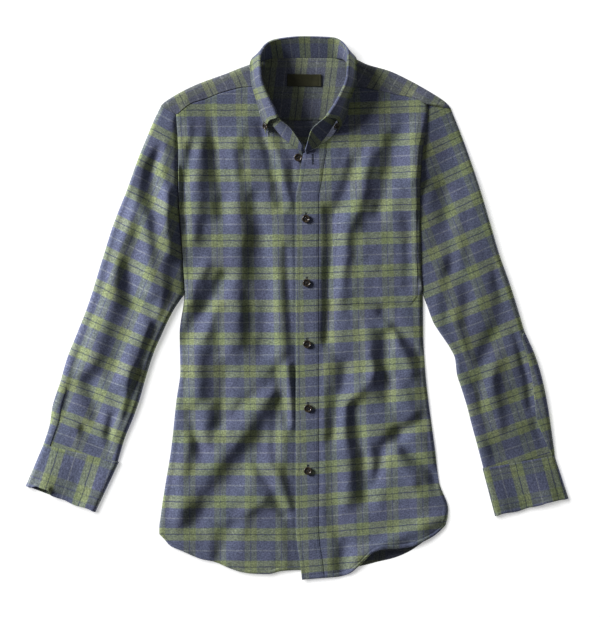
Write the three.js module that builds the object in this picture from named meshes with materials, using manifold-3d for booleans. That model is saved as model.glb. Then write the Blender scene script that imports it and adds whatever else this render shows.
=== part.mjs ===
// A button-down flannel shirt laid flat on its back. Millimetres, +Z up from the floor, collar towards +Y.
import * as THREE from 'three';
import Module from 'manifold-3d';

const wasm = await Module();
wasm.setup();

// Cloth and seams
const WALL = 2;
const GAP = 0.3;
const SEAM_GAP = 0.7;
const COLLAR_WALL = 1.5;
const BAND_WALL = 1.4;
const EDGE_ROLL = 8;
const EDGE_FALL = 3;
const EDGE_TURN = [0.35, 0.7, 1];
const HEM_CORNER_RISE = 8;
const ARMHOLE_HEIGHT = 9;
const UNDERLAP_DROP = 2.8;
const COLLAR_ROLL = 3;
const LEAF_LIFT = 2.6;
const FOLD_LIMIT = 8;
const SEAM_FOLD_SHARE = 0.25;
const SEAM_FADE_Y = [250, 300];
const ARMHOLE_TURN = THREE.MathUtils.degToRad(55);
const ARMHOLE_EASE = [-8, 10];
const SHOULDER_ROLL = 7;
const CUT_TOLERANCE = 0.02;

// Sewn bands and trims
const PLACKET_WIDTH = 34;
const PLACKET_EASE = [2, 16];
const UNDERLAP_EASE = [26, 5];
const POCKET = { top: 150.7, bottom: 5, firstColumn: 3, lastColumn: 12 };
const BUTTON_DIAMETER = 12.7;
const COLLAR_BUTTON_DIAMETER = 10;
const BUTTON_THICKNESS = 2.6;
const BUTTON_HOLE_DIAMETER = 1.8;
const BUTTON_SEAT = 0.5;
const BUTTON_SIDES = 14;
const BUTTON_HOLE_SIDES = 6;
const BUTTON_HOLE_SPREAD = 0.26;
const BUTTON_RIM_SHARE = 0.45;
const SEAT_PROBES = 12;
const PROBE_HEIGHT = 100;
// Half a button's section, as shares of its radius and thickness
const BUTTON_PROFILE = [[0, 0], [0.9, 0], [1, 0.4], [0.9, 1], [0.66, 1], [0.5, 0.65], [0, 0.65]];

// Colours as seen in daylight
const FLANNEL = 0x6b7180;
const FLANNEL_DARK = 0x565b69;
const TORTOISE = 0x2c1d16;
const LABEL_OLIVE = 0x3e3c1a;

function table(columns, rows) {
  return rows.map((row) => Object.fromEntries(columns.map((name, i) => [name, row[i]])));
}

// The body's two side edges from the shoulder to the hem, and the height of the front over the floor
const UNDERARM_Y = 20;
const BODY = table(['y', 'left', 'right', 'centreHeight', 'sideHeight'], [
  [340, -186, 200, 12, 11],
  [294, -184, 198.5, 12.5, 11.5],
  [238, -181.5, 190.5, 13, 12],
  [195, -181.5, 188, 14.5, 12.5],
  [150, -180, 187, 15.5, 12.5],
  [104, -176.5, 188, 16, 12.5],
  [58, -173.5, 189, 16.5, 12.5],
  [20, -172, 191.5, 17, 12.5],
  [-38, -179, 192, 17, 12.5],
  [-94, -178, 195, 17, 12.5],
  [-141, -184, 200, 17, 12],
  [-215, -192, 210, 16.5, 12],
  [-264, -200, 216, 15.5, 11.5],
  [-306, -206.5, 230, 14, 11],
  [-340, -210, 226, 12.5, 10.5],
  [-410, -210, 222, 10, 9],
]);

// Levels of the panels' points: shares of the stretch at the yoke seam, levels along the body, and shares of
// the stretch at the hem
const TOP_STRETCH_Y = 222;
const HEM_STRETCH_Y = -320;
const FROM_TOP = [0, 0.3, 0.6, 0.85];
const TO_HEM = [0.5, 1];
const ARMHOLE_LEVELS = [282, 256, 236];
const BODY_LEVELS = [
  208, 190, 171, 150.7, 127, 103, 79, 55, 30, 18, 5, -21, -47, -73, -99, -125, -151, -177, -203, -229, -255,
  -281, -306,
];
// Columns of the panels' points, as shares of their width
const LEFT_SHARES = [
  0, 0.09, 0.17, 0.23, 0.29, 0.325, 0.36, 0.385, 0.42, 0.5, 0.59, 0.68, 0.77, 0.86, 0.94, 1,
];
const PLACKET_SHARE = 0.19;
const RIGHT_SHARES = [
  0, 0.09, PLACKET_SHARE, 0.295, 0.335, 0.37, 0.41, 0.49, 0.58, 0.68, 0.78, 0.88, 0.975, 1,
];
const BACK_SHARES = [0, 0.06, 0.16, 0.3, 0.5, 0.7, 0.78, 0.86, 0.95, 1];

// The closing edge of the front that lies on top
const CLOSING = table(['y', 'x'], [
  [238, 10], [221, 6.6], [195, 2.8], [165, -2], [-323, -2], [-354, -0.4], [-385, 4.3], [-413, 7.4],
]);
// The edge of the front that lies underneath
const UNDERLAP = table(['y', 'x'], [[238, 9], [200, 19], [160, 27], [120, 30], [-400, 30]]);

// Neck seam and front yoke seam from the closing edge to the armhole
const TOP_LEFT = table(['x', 'y'], [
  [9, 239], [-4, 246.5], [-18, 256], [-40, 282], [-54, 315], [-64, 338],
  [-84, 336.5], [-103, 332], [-121, 326.5], [-140, 319], [-161, 312], [-175, 302], [-184, 293.5],
]);
const TOP_RIGHT = table(['x', 'y'], [
  [10, 236], [22, 241], [38, 250], [56, 266], [66, 290], [72, 315], [79, 338],
  [104, 336], [126, 331], [150, 325.5], [173, 321], [190, 314.5], [199, 308],
]);

// The shirt-tail hem of each front
const HEM_LEFT = table(['x', 'y'], [
  [30, -398], [1, -398], [-22, -399], [-45, -404], [-69, -403], [-84, -401], [-100, -396], [-127, -385],
  [-146, -381], [-177, -368], [-193, -361], [-203, -350],
]);
const HEM_RIGHT = table(['x', 'y'], [
  [7, -412.6], [38, -410], [63, -408], [78, -404], [95, -391], [118, -370], [132, -366], [154, -365],
  [175, -362], [187, -357], [208, -346], [219, -337],
]);
const HEM_BACK = table(['x', 'y'], [
  [-208, -338], [-190, -357], [-146, -377], [-100, -391], [-69, -398], [-22, -395], [60, -398], [95, -392.5],
  [121, -386], [146, -380], [170.5, -370], [190, -357], [206, -345], [224, -330],
]);

// Shoulders from the armhole to the neck: the fold along the shoulder and the yoke's front seam
const SHOULDER_LEFT = table(['foldX', 'foldY', 'seamX', 'seamY'], [
  [-207, 308, -184, 295.4], [-202, 313, -180, 298.2], [-198, 316, -175, 302.7], [-180, 327, -161, 312.7],
  [-156, 339, -140, 319.7], [-130, 349, -121, 327.2], [-110, 356, -103, 332.7], [-85, 366, -84, 337.2],
  [-60, 375, -64, 338.7],
]);
const SHOULDER_RIGHT = table(['foldX', 'foldY', 'seamX', 'seamY'], [
  [234, 304, 199, 309.6], [227, 312, 195, 312.2], [221, 317, 190, 315.2], [197, 332, 173, 321.7],
  [170, 347, 150, 326.2], [140, 361, 126, 331.7], [106, 371, 104, 336.7], [91, 378, 91, 338.2],
  [76, 383, 79, 338.7],
]);
const BACK_SEAM_Y = 288;
const BACK_HEM_Y = -334;
const BACK_ARMHOLE_Y = [18, 30];
const BACK_CORNER_INSET = 1.5;
const BACK_CORNER_Y = [300, 330];
const YOKE_END_INSET = 0.2;
const YOKE_MIDDLE_Y = 313;
const YOKE_PLATE = [0, 0.3, 0.6, 0.85, 1];
const YOKE_FOLD = [0.25, 0.5, 0.75, 1];
const LEAF_REACH = { left: [-80, -58], right: [74, 96], y: [345, 368] };
const NECK_BACK = table(['x', 'y'], [
  [-60, 367.6], [-50, 375.5], [-34, 379.5], [-15, 379.5], [11, 379.5], [37, 379.5], [52, 379.5], [66, 378],
  [76, 375.5],
]);
const LABEL_ROWS = [338, 357];
const LABEL_COLUMNS = [-15, 11, 37];
const LABEL_WALL = 1;

// Sleeves: the outer and inner edge of each section from the armhole to the cuff, and its height
const SLEEVE_LEFT = table(['outerX', 'outerY', 'innerX', 'innerY', 'height'], [
  [-207.5, 308, -172.9, 20.5, ARMHOLE_HEIGHT], [-212, 299, -174.6, 18.4, 12.5], [-219, 284, -178, 13.5, 14.5],
  [-228, 262, -181.5, 8, 16], [-243, 225, -186.5, 0, 17], [-259, 180, -192, -10, 18],
  [-279, 129, -199, -24, 18], [-298, 69, -207, -42, 18], [-317, 8, -216, -62, 17.5],
  [-336, -41, -224, -85, 17], [-350, -76, -231, -108, 17], [-361, -114, -240, -140, 16.5],
  [-372, -150, -250, -168, 15.5], [-376, -176, -262, -197, 14.5], [-386, -206, -271, -232.5, 13],
]);
const SLEEVE_RIGHT = table(['outerX', 'outerY', 'innerX', 'innerY', 'height'], [
  [234.5, 304, 192.4, 18.5, ARMHOLE_HEIGHT], [237, 297, 194, 14, 12.5], [243, 282, 197.5, 5, 14.5],
  [254, 253, 202, -8, 16], [267, 216, 207, -21, 17], [280, 176, 215, -34, 18],
  [293, 132, 224, -47, 18], [308, 81, 233, -61, 18], [323, 39, 240, -76, 17.5],
  [336, -2, 243, -100, 17], [347, -38, 250, -122, 17], [361, -70, 257.5, -146, 16.5],
  [372, -105, 265, -175, 15.5], [381.5, -150, 274, -208, 14.5], [391.5, -222.5, 282, -242.5, 13],
]);
const SEAM_REACH = 0.35;
const SLEEVE_CROWN = 0.125;
const FOLD_MARGIN = 0.35;
const FOLD_START_HEIGHT = 15;
const RING_TOP = [0, 0.14, 0.28, 0.42, 0.56, 0.7, 0.85, 1];
const RING_BOTTOM = [1, 0.75, 0.5, 0.25, 0];
const RING_TURN = [-0.5, 0, 0.5];
const GAUNTLET_SECTION = 11;
const GAUNTLET_SHARE = 0.5;
const GAUNTLET_OVERRUN = 0.03;

// Cuffs: the edge at the sleeve, the mouth, and the waves of the mouth's upper layer
const CUFF_LEFT = {
  topOuter: [-386, -207], topInner: [-271, -233.5], outer: [-413, -270], inner: [-307, -310],
};
const CUFF_RIGHT = {
  topOuter: [391.5, -223.5], topInner: [282, -243.5], outer: [413, -289], inner: [301, -316],
};
const CUFF_HEIGHT = 13;
const CUFF_ROWS = [0, 0.33, 0.66, 1];
const MOUTH_WAVE = { rise: 3, phase: 0.6, margin: 0.2 };

// Collar stations from one front end round the neck to the other: seam at the neck and fold at the top
const COLLAR = table(['baseX', 'baseY', 'baseZ', 'foldX', 'foldY', 'foldZ', 'edgeX', 'edgeY', 'edgeZ'], [
  [3, 244, 12.2, 1, 252, 21, 0, 0, 0],
  [-19, 258, 14.5, -12, 276, 31, 0, 0, 0],
  [-41, 285, 14.5, -29, 289, 40, -47, 262, 15.2],
  [-49, 301, 14.5, -34, 301, 43, -55, 288, 15],
  [-56, 317, 14.5, -43, 318, 45, -62, 315, 15],
  [-62.5, 343, 14, -55, 350, 45, -70, 344, 15],
  [-58, 366, 10, -57, 378, 40, -72, 371, 15],
  [-52, 376.3, 6, -52, 394, 32, -62, 385, 6],
  [-34, 380.3, 5.2, -38, 407, 22, -38, 377, 0],
  [10, 380.3, 5.2, 8, 413.4, 18, 8, 371, 0],
  [52, 380.3, 5.2, 54, 411.5, 20, 56, 377, 0],
  [67, 379, 6, 72, 400, 30, 80, 389, 6],
  [74, 375, 10, 78, 384, 40, 91, 376, 15],
  [80, 343, 14, 76, 352, 45, 91, 348, 15],
  [74, 316, 14.5, 61, 316, 45, 80, 314, 15],
  [67, 299, 14.5, 52, 302, 43, 75, 290, 15],
  [58, 285, 14.5, 44, 291, 40, 61, 267, 15.2],
  [40, 254, 14.5, 23, 268, 31, 0, 0, 0],
  [15, 238.5, 14, 17, 247, 22, 0, 0, 0],
]);
const LEAF_FALL = table(['down', 'height'], [[0, 1], [0.3, 0.72], [0.6, 0.27], [0.8, 0.05], [1, 0]]);
const LEAF_FIRST = 2;
const LEAF_LAST = 16;
const COLLAR_STEP = 0.5;
const TANGENT_STEP = 0.2;
const STAND_TURN = THREE.MathUtils.degToRad(74);
const STAND_LEVELS = [0, 0.35, 0.7, 1];

// Folds as soft ridges (rise over 0) and troughs (rise under 0) between two points
const FOLD_COLUMNS = ['fromX', 'fromY', 'toX', 'toY', 'rise', 'width'];
const BODY_FOLDS = table(FOLD_COLUMNS, [
  [-138, 300, -140, 119, -6, 14], [-120, 294, -114, 165, 3, 10], [-160, 262, -158, 60, 3.5, 11],
  [-76, 157, -69, 13, -7, 15], [-69, 13, -79, -94, -7, 15], [-53, 172, -44, 89, 4, 9],
  [-38, 40, -38, -90, 3.5, 10], [-166, 17, -90, 58, 4, 9], [-150, 8, -98, 40, -5, 9],
  [-129, -10, -146, -60, 4, 11], [-30, -125, -53, -182, -6, 15], [-53, -182, -114, -246, -8, 15],
  [-114, -246, -160, -300, -6, 15], [-43, -233, -20, -312, 3, 11], [-55, -312, -125, -334, -3, 12],
  [-125, -334, -190, -340, -3, 12], [-150, -150, -168, -230, 3.5, 13], [-60, 262, -58, 190, -4, 9],
  [80, 210, 56, 156, -6, 10], [141, 244, 103, 156, -6, 11], [114, 226, 80, 157, 4, 9],
  [70, 127, 70, -2, -5, 10], [56, 147, 47, 13, 3.5, 8], [160, 290, 172, 150, 3, 14],
  [105, -21, 129, -51, -6, 12], [129, -51, 137, -141, -7, 12], [132, -33, 149, -109, 3.5, 10],
  [83, -139, 83, -264, -6, 13], [68, -139, 50, -209, 3, 9], [187, -176, 138, -197, -6, 12],
  [138, -197, 114, -238, -6, 12], [173, -215, 202, -267, -5, 12], [130, -270, 150, -345, 3, 14],
]);
const SLEEVE_FOLDS = table(FOLD_COLUMNS, [
  [-242, 235, -224, 168, -5, 13], [-214, 139, -196, -2, -6, 13], [-274, 81, -259, -2, -5, 12],
  [-262, -97, -240, -142, -5, 12], [-284, -166, -275, -204, -4, 10], [-245, 120, -232, 10, 3, 12],
  [-310, -20, -330, -110, 3, 13],
  [222, 268, 238, 168, -5, 12], [214, 69, 232, -2, -5, 11], [272, -48, 299, -78, -5, 12],
  [287, -89, 299, -171, -5, 11], [262, 110, 280, 20, 3, 13], [325, -60, 345, -150, 3, 13],
]);

// Buttons of the front row: the first is undone and sits on the underlap
const UNDONE_BUTTON = { x: 1.5, y: 229.5 };
const FRONT_BUTTONS = table(['x', 'y'], [
  [13.3, 136.3], [14.4, 38.8], [15.1, -54.2], [16.6, -151.6], [16.2, -246.5],
]);
const COLLAR_BUTTONS = table(['side', 'x', 'y'], [['left', -47, 277], ['right', 58.5, 278]]);

// A smooth curve through one column of a table, read at its key column, that never overshoots a row
function curve(rows, key, column) {
  const sorted = [...rows].sort((a, b) => a[key] - b[key]);
  const last = sorted.length - 1;
  const rate = (i) => (sorted[i + 1][column] - sorted[i][column]) / (sorted[i + 1][key] - sorted[i][key]);
  const slope = (i) => {
    const before = rate(Math.max(i - 1, 0));
    const after = rate(Math.min(i, last - 1));
    return before * after > 0 ? 2 * before * after / (before + after) : 0;
  };
  return (at) => {
    let i = 0;
    while (i < last - 1 && sorted[i + 1][key] < at) {
      i += 1;
    }
    const a = sorted[i];
    const b = sorted[i + 1];
    const span = b[key] - a[key];
    const t = THREE.MathUtils.clamp((at - a[key]) / span, 0, 1);
    const t2 = t * t;
    const t3 = t2 * t;
    return (2 * t3 - 3 * t2 + 1) * a[column] + (t3 - 2 * t2 + t) * span * slope(i)
      + (3 * t2 - 2 * t3) * b[column] + (t3 - t2) * span * slope(i + 1);
  };
}

// Curves through every column of a table, read at a row's number
function stationCurves(rows) {
  const numbered = rows.map((row, i) => ({ ...row, step: i }));
  return Object.fromEntries(Object.keys(rows[0]).map((name) => [name, curve(numbered, 'step', name)]));
}

const { lerp, smoothstep } = THREE.MathUtils;
const sideLeft = curve(BODY, 'y', 'left');
const sideRight = curve(BODY, 'y', 'right');
const centreHeight = curve(BODY, 'y', 'centreHeight');
const sideHeight = curve(BODY, 'y', 'sideHeight');
const closingEdge = curve(CLOSING, 'y', 'x');
const underlapEdge = curve(UNDERLAP, 'y', 'x');

function foldHeight(folds, x, y) {
  let height = 0;
  for (const fold of folds) {
    const runX = fold.toX - fold.fromX;
    const runY = fold.toY - fold.fromY;
    const along = ((x - fold.fromX) * runX + (y - fold.fromY) * runY) / (runX * runX + runY * runY);
    const held = THREE.MathUtils.clamp(along, 0, 1);
    const distance = Math.hypot(x - fold.fromX - held * runX, y - fold.fromY - held * runY);
    height += fold.rise * Math.exp(-((distance / fold.width) ** 2));
  }
  return height;
}

// Height of the fronts' outer face, without the drop of the layer that lies underneath
function bodyHeight(x, y) {
  const left = sideLeft(y);
  const right = sideRight(y);
  const across = (2 * x - left - right) / (right - left);
  const crown = lerp(centreHeight(y), sideHeight(y), Math.min(across * across, 1));
  const closing = closingEdge(y);
  const pastBand = Math.abs(x - closing - PLACKET_WIDTH / 2) - PLACKET_WIDTH / 2;
  const bandMask = smoothstep(pastBand, ...PLACKET_EASE);
  const seamShare = lerp(1, SEAM_FOLD_SHARE, smoothstep(y, ...SEAM_FADE_Y));
  const fold = foldHeight(BODY_FOLDS, x, y) * bandMask * seamShare;
  return crown + FOLD_LIMIT * Math.tanh(fold / FOLD_LIMIT);
}

function underlapDrop(x, y) {
  const [start, end] = UNDERLAP_EASE;
  return UNDERLAP_DROP * smoothstep(x, closingEdge(y) - start, closingEdge(y) - end);
}

// Builds a closed wall of cloth from a grid of points on its seen face. Cells outside the mask are left out.
function clothWall(grid, { thickness = WALL, lift = 0, ring = false, mask = () => true } = {}) {
  const rows = grid.length;
  const columns = grid[0].length;
  const cellColumns = ring ? columns : columns - 1;
  const next = (j) => (j + 1) % columns;
  const normals = grid.map((row) => row.map(() => new THREE.Vector3()));
  const cells = [];
  for (let i = 0; i < rows - 1; i += 1) {
    for (let j = 0; j < cellColumns; j += 1) {
      if (!mask(i, j)) {
        continue;
      }
      cells.push([i, j]);
      const a = grid[i][j];
      const b = grid[i + 1][j];
      const c = grid[i + 1][next(j)];
      const d = grid[i][next(j)];
      const across = new THREE.Vector3().subVectors(c, a);
      const down = new THREE.Vector3().subVectors(d, b);
      const normal = new THREE.Vector3().crossVectors(across, down).normalize();
      for (const [k, l] of [[i, j], [i + 1, j], [i + 1, next(j)], [i, next(j)]]) {
        normals[k][l].add(normal);
      }
    }
  }
  const vertices = [];
  const index = new Map();
  const place = (i, j, layer) => {
    const name = `${i},${j},${layer}`;
    if (!index.has(name)) {
      const offset = layer === 0 ? lift : lift - thickness;
      const point = grid[i][j].clone().addScaledVector(normals[i][j].clone().normalize(), offset);
      index.set(name, vertices.length / 3);
      vertices.push(point.x, point.y, Math.max(point.z, 0));
    }
    return index.get(name);
  };
  const triangles = [];
  const quad = (a, b, c, d) => triangles.push(a, b, c, a, c, d);
  const edges = new Map();
  for (const [i, j] of cells) {
    const corners = [[i, j], [i + 1, j], [i + 1, next(j)], [i, next(j)]];
    const [a, b, c, d] = corners.map(([k, l]) => place(k, l, 0));
    const [e, f, g, h] = corners.map(([k, l]) => place(k, l, 1));
    quad(a, b, c, d);
    quad(e, h, g, f);
    for (let side = 0; side < 4; side += 1) {
      const from = corners[side];
      const to = corners[(side + 1) % 4];
      const back = `${to}|${from}`;
      if (edges.has(back)) {
        edges.delete(back);
      } else {
        edges.set(`${from}|${to}`, [from, to]);
      }
    }
  }
  for (const [from, to] of edges.values()) {
    quad(place(...to, 0), place(...from, 0), place(...from, 1), place(...to, 1));
  }
  return solid(vertices, triangles);
}

function solid(vertices, triangles) {
  const mesh = new wasm.Mesh({
    numProp: 3,
    vertProperties: new Float32Array(vertices),
    triVerts: new Uint32Array(triangles),
  });
  return new wasm.Manifold(mesh);
}

function solidOf(geometry) {
  const points = geometry.getAttribute('position');
  const merged = new Map();
  const vertices = [];
  const indices = [];
  const count = geometry.index ? geometry.index.count : points.count;
  for (let i = 0; i < count; i += 1) {
    const k = geometry.index ? geometry.index.getX(i) : i;
    const at = [points.getX(k), points.getY(k), points.getZ(k)];
    const name = at.map((value) => Math.round(value * 1e4)).join();
    if (!merged.has(name)) {
      merged.set(name, vertices.length / 3);
      vertices.push(...at);
    }
    indices.push(merged.get(name));
  }
  const triangles = [];
  for (let i = 0; i < indices.length; i += 3) {
    const [a, b, c] = indices.slice(i, i + 3);
    if (a !== b && b !== c && c !== a) {
      triangles.push(a, b, c);
    }
  }
  return solid(vertices, triangles);
}

// Takes the neighbours' space out of a piece and keeps its largest part
function clearOf(piece, neighbours) {
  let rest = piece;
  for (const neighbour of neighbours) {
    rest = rest.subtract(neighbour);
  }
  const parts = rest.decompose();
  parts.sort((a, b) => b.volume() - a.volume());
  return parts[0].simplify(CUT_TOLERANCE);
}

function geometryOf(manifold) {
  const { vertProperties, triVerts } = manifold.getMesh();
  const geometry = new THREE.BufferGeometry();
  geometry.setAttribute('position', new THREE.BufferAttribute(new Float32Array(vertProperties), 3));
  geometry.setIndex(new THREE.BufferAttribute(new Uint32Array(triVerts), 1));
  geometry.computeVertexNormals();
  return geometry;
}

// Turns a seam given by places into a curve over the share of the width between the closing edge and the side
function topCurve(rows, centre, side) {
  const shares = rows.map(({ x, y }) => ({ share: (x - centre(y)) / (side(y) - centre(y)), y }));
  return curve(shares, 'share', 'y');
}

const frontRows = [
  ...FROM_TOP.map((fromTop) => ({ fromTop })),
  ...BODY_LEVELS.map((y) => ({ y })),
  ...TO_HEM.map((toHem) => ({ toHem })),
];

// Grid of one front: rows run down from the neck and yoke seam to the hem, columns out from the closing edge
function frontGrid({ top, hem, centre, side, shares, drop }) {
  const outwards = Math.sign(side(0));
  const inner = (y) => side(y) - outwards * EDGE_ROLL;
  const topAt = topCurve(top, centre, inner);
  const hemAt = topCurve(hem, centre, inner);
  const sideRise = top[top.length - 1].y - topAt(1);
  const rowY = ({ fromTop, toHem, y }, share) => {
    if (fromTop !== undefined) {
      return lerp(topAt(share), TOP_STRETCH_Y, fromTop);
    }
    return toHem === undefined ? y : lerp(HEM_STRETCH_Y, hemAt(share), toHem);
  };
  const grid = [];
  for (const row of frontRows) {
    const line = [];
    for (const share of shares) {
      const y = rowY(row, share);
      const x = lerp(centre(y), inner(y), share);
      line.push(new THREE.Vector3(x, y, bodyHeight(x, y) - drop(x, y)));
    }
    const edge = line[line.length - 1];
    const [armholeEnd, armholeStart] = ARMHOLE_EASE;
    const openArm = smoothstep(edge.y, UNDERARM_Y + armholeEnd, UNDERARM_Y + armholeStart);
    const reach = lerp(Math.PI / 2, ARMHOLE_TURN, openArm);
    const width = EDGE_ROLL - EDGE_FALL * Math.cos(reach);
    const fall = edge.z - lerp(0, ARMHOLE_HEIGHT, openArm) - EDGE_FALL * Math.sin(reach);
    const cornerRise = sideRise * (1 - (row.fromTop ?? 1)) + HEM_CORNER_RISE * (row.toHem ?? 0);
    for (const k of EDGE_TURN) {
      const out = width * Math.sin(k * reach) / Math.sin(reach);
      const down = fall * (1 - Math.cos(k * reach)) / (1 - Math.cos(reach));
      const y = edge.y + cornerRise * out / EDGE_ROLL;
      line.push(new THREE.Vector3(edge.x + outwards * out, y, edge.z - down));
    }
    const turned = line[line.length - 1];
    const tail = new THREE.Vector3(outwards * Math.cos(reach), 0, -Math.sin(reach));
    line.push(turned.clone().addScaledVector(tail, EDGE_FALL));
    grid.push(outwards > 0 ? line : line.reverse());
  }
  return grid;
}

const leftGrid = frontGrid({
  top: TOP_LEFT, hem: HEM_LEFT, centre: underlapEdge, side: sideLeft, shares: LEFT_SHARES, drop: underlapDrop,
});
const rightGrid = frontGrid({
  top: TOP_RIGHT, hem: HEM_RIGHT, centre: closingEdge, side: sideRight, shares: RIGHT_SHARES, drop: () => 0,
});

// A block of a grid, from its cells' first and last rows and columns
function block(grid, [firstRow, lastRow], [firstColumn, lastColumn]) {
  return grid.slice(firstRow, lastRow + 1).map((row) => row.slice(firstColumn, lastColumn + 1));
}

function raisedUnderLeaf(x, y) {
  const acrossNeck = smoothstep(x, ...LEAF_REACH.left) * (1 - smoothstep(x, ...LEAF_REACH.right));
  return LEAF_LIFT * smoothstep(y, ...LEAF_REACH.y) * acrossNeck;
}

// Yoke: a plate under the neck whose ends fold over both shoulders to the front seam
function shoulderColumn(row, isEnd) {
  const fold = new THREE.Vector3(row.foldX, row.foldY, 0);
  const seam = new THREE.Vector3(row.seamX, row.seamY, 0);
  const inward = new THREE.Vector3().subVectors(seam, fold).normalize();
  const inset = fold.clone().addScaledVector(inward, SHOULDER_ROLL);
  const isLeft = row.foldX < 0;
  const side = isLeft ? sideLeft : sideRight;
  const endX = side(BACK_SEAM_Y) - Math.sign(row.foldX) * YOKE_END_INSET;
  const neckX = isLeft ? NECK_BACK[0].x : NECK_BACK[NECK_BACK.length - 1].x;
  const rows = isLeft ? SHOULDER_LEFT : SHOULDER_RIGHT;
  const share = (row.foldX - rows[0].foldX) / (rows[rows.length - 1].foldX - rows[0].foldX);
  const start = new THREE.Vector3(lerp(endX, neckX, share), BACK_SEAM_Y + GAP, 0);
  const column = YOKE_PLATE.map((k) => {
    const at = start.clone().lerp(inset, k);
    at.z = raisedUnderLeaf(at.x, at.y);
    return at;
  });
  const bottom = column[column.length - 1];
  const topZ = isEnd ? ARMHOLE_HEIGHT : bodyHeight(inset.x, inset.y);
  const middle = (bottom.z + topZ) / 2;
  for (const k of YOKE_FOLD) {
    const turn = -Math.PI / 2 + k * Math.PI;
    const out = SHOULDER_ROLL * Math.cos(turn);
    const at = inset.clone().addScaledVector(inward, -out);
    at.z = middle + (topZ - bottom.z) / 2 * Math.sin(turn);
    column.push(at);
  }
  for (const k of [0.5, 1]) {
    const at = inset.clone().lerp(seam, k);
    at.z = isEnd ? ARMHOLE_HEIGHT : bodyHeight(at.x, at.y);
    column.push(at);
  }
  return column;
}

function neckColumn(row, length) {
  const column = [BACK_SEAM_Y + GAP, YOKE_MIDDLE_Y, ...LABEL_ROWS, row.y].map((y) => {
    return new THREE.Vector3(row.x, y, raisedUnderLeaf(row.x, y));
  });
  while (column.length < length) {
    column.push(column[column.length - 1].clone());
  }
  return column;
}

const leftColumns = SHOULDER_LEFT.map((row, i) => shoulderColumn(row, i === 0));
const rightColumns = SHOULDER_RIGHT.map((row, i) => shoulderColumn(row, i === 0)).reverse();
const neckColumns = NECK_BACK.slice(1, -1).map((row) => neckColumn(row, leftColumns[0].length));
const yokeGrid = [...leftColumns, ...neckColumns, ...rightColumns].reverse();
const neckFrom = rightColumns.length - 1;
const neckTo = neckFrom + neckColumns.length + 1;
const plateRows = YOKE_PLATE.length - 1;
const inYoke = (i, j) => j < plateRows || i < neckFrom || i >= neckTo;

// Back: a flat panel between the side seams, from the yoke seam to the hem
function backGrid() {
  const hemAt = curve(HEM_BACK, 'x', 'y');
  const levels = [BACK_SEAM_Y - GAP, ...ARMHOLE_LEVELS, TOP_STRETCH_Y, ...BODY_LEVELS];
  const inset = (y) => {
    const alongSide = lerp(WALL + 2 * GAP, GAP / 2, smoothstep(y, ...BACK_ARMHOLE_Y));
    return alongSide + BACK_CORNER_INSET * smoothstep(-y, ...BACK_CORNER_Y);
  };
  const line = (y, toHem) => BACK_SHARES.map((share) => {
    const x = lerp(sideLeft(y) + inset(y), sideRight(y) - inset(y), share);
    return new THREE.Vector3(x, toHem ? Math.min(y, hemAt(x)) : y, 0);
  });
  return [...levels.map((y) => line(y, false)), line(BACK_HEM_Y, true)];
}

// Sleeve section: a flattened ring that starts along the armhole seam and fans out to the sleeve's own line
function seamLine(shoulder, side, isTop) {
  const corner = isTop ? [shoulder[0].seamX, shoulder[0].seamY] : [side(BACK_SEAM_Y), BACK_SEAM_Y];
  const points = [[shoulder[0].foldX, shoulder[0].foldY], corner];
  const outwards = Math.sign(shoulder[0].foldX);
  const armholeLevels = BODY_LEVELS.filter((level) => level > UNDERARM_Y);
  for (const y of [...ARMHOLE_LEVELS, TOP_STRETCH_Y, ...armholeLevels, UNDERARM_Y]) {
    points.push([side(y), y]);
  }
  const path = new THREE.CurvePath();
  for (let i = 1; i < points.length; i += 1) {
    const from = new THREE.Vector3(points[i - 1][0] + outwards * SEAM_GAP, points[i - 1][1], 0);
    const to = new THREE.Vector3(points[i][0] + outwards * SEAM_GAP, points[i][1], 0);
    path.add(new THREE.LineCurve3(from, to));
  }
  return path;
}

function sleeveGrid(rows, shoulder, side) {
  const seams = { top: seamLine(shoulder, side, true), bottom: seamLine(shoulder, side, false) };
  return rows.map((row, step) => {
    const outer = new THREE.Vector3(row.outerX, row.outerY, 0);
    const inner = new THREE.Vector3(row.innerX, row.innerY, 0);
    const pull = 1 - smoothstep(step / (rows.length - 1), 0, SEAM_REACH);
    const place = (layer, share) => {
      const straight = outer.clone().lerp(inner, share);
      const seam = seams[layer].getPointAt(share);
      const start = new THREE.Vector3(rows[0].outerX, rows[0].outerY, 0)
        .lerp(new THREE.Vector3(rows[0].innerX, rows[0].innerY, 0), share);
      return straight.addScaledVector(seam.sub(start), pull);
    };
    return ringSection(place, outer.distanceTo(inner), row.height, SLEEVE_FOLDS);
  });
}

function ringSection(place, width, height, folds) {
  const radius = Math.min(EDGE_ROLL, height / 2 + 1);
  const edge = radius / width;
  const points = [];
  const add = (layer, share, z) => {
    const at = place(layer, share);
    at.z = z;
    points.push(at);
  };
  for (const k of RING_TOP) {
    const share = lerp(edge, 1 - edge, k);
    const at = place('top', share);
    const inside = Math.min(k, 1 - k) * 2;
    const folded = smoothstep(inside, 0, FOLD_MARGIN) * smoothstep(height, ARMHOLE_HEIGHT, FOLD_START_HEIGHT);
    const crown = (height - ARMHOLE_HEIGHT) * SLEEVE_CROWN * inside;
    add('top', share, height + crown + foldHeight(folds, at.x, at.y) * folded);
  }
  const turnEdge = (isInner) => {
    for (const turn of RING_TURN) {
      const lift = Math.sin(Math.abs(turn) * Math.PI / 2);
      const out = edge * (1 - Math.sqrt(1 - lift * lift));
      const sign = Math.sign(turn) * (isInner ? -1 : 1);
      const isBottom = isInner ? turn > 0 : turn <= 0;
      add(isBottom ? 'bottom' : 'top', isInner ? 1 - out : out, height / 2 * (1 + sign * lift));
    }
  };
  turnEdge(true);
  for (const k of RING_BOTTOM) {
    add('bottom', lerp(edge, 1 - edge, k), 0);
  }
  turnEdge(false);
  return points;
}

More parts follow.
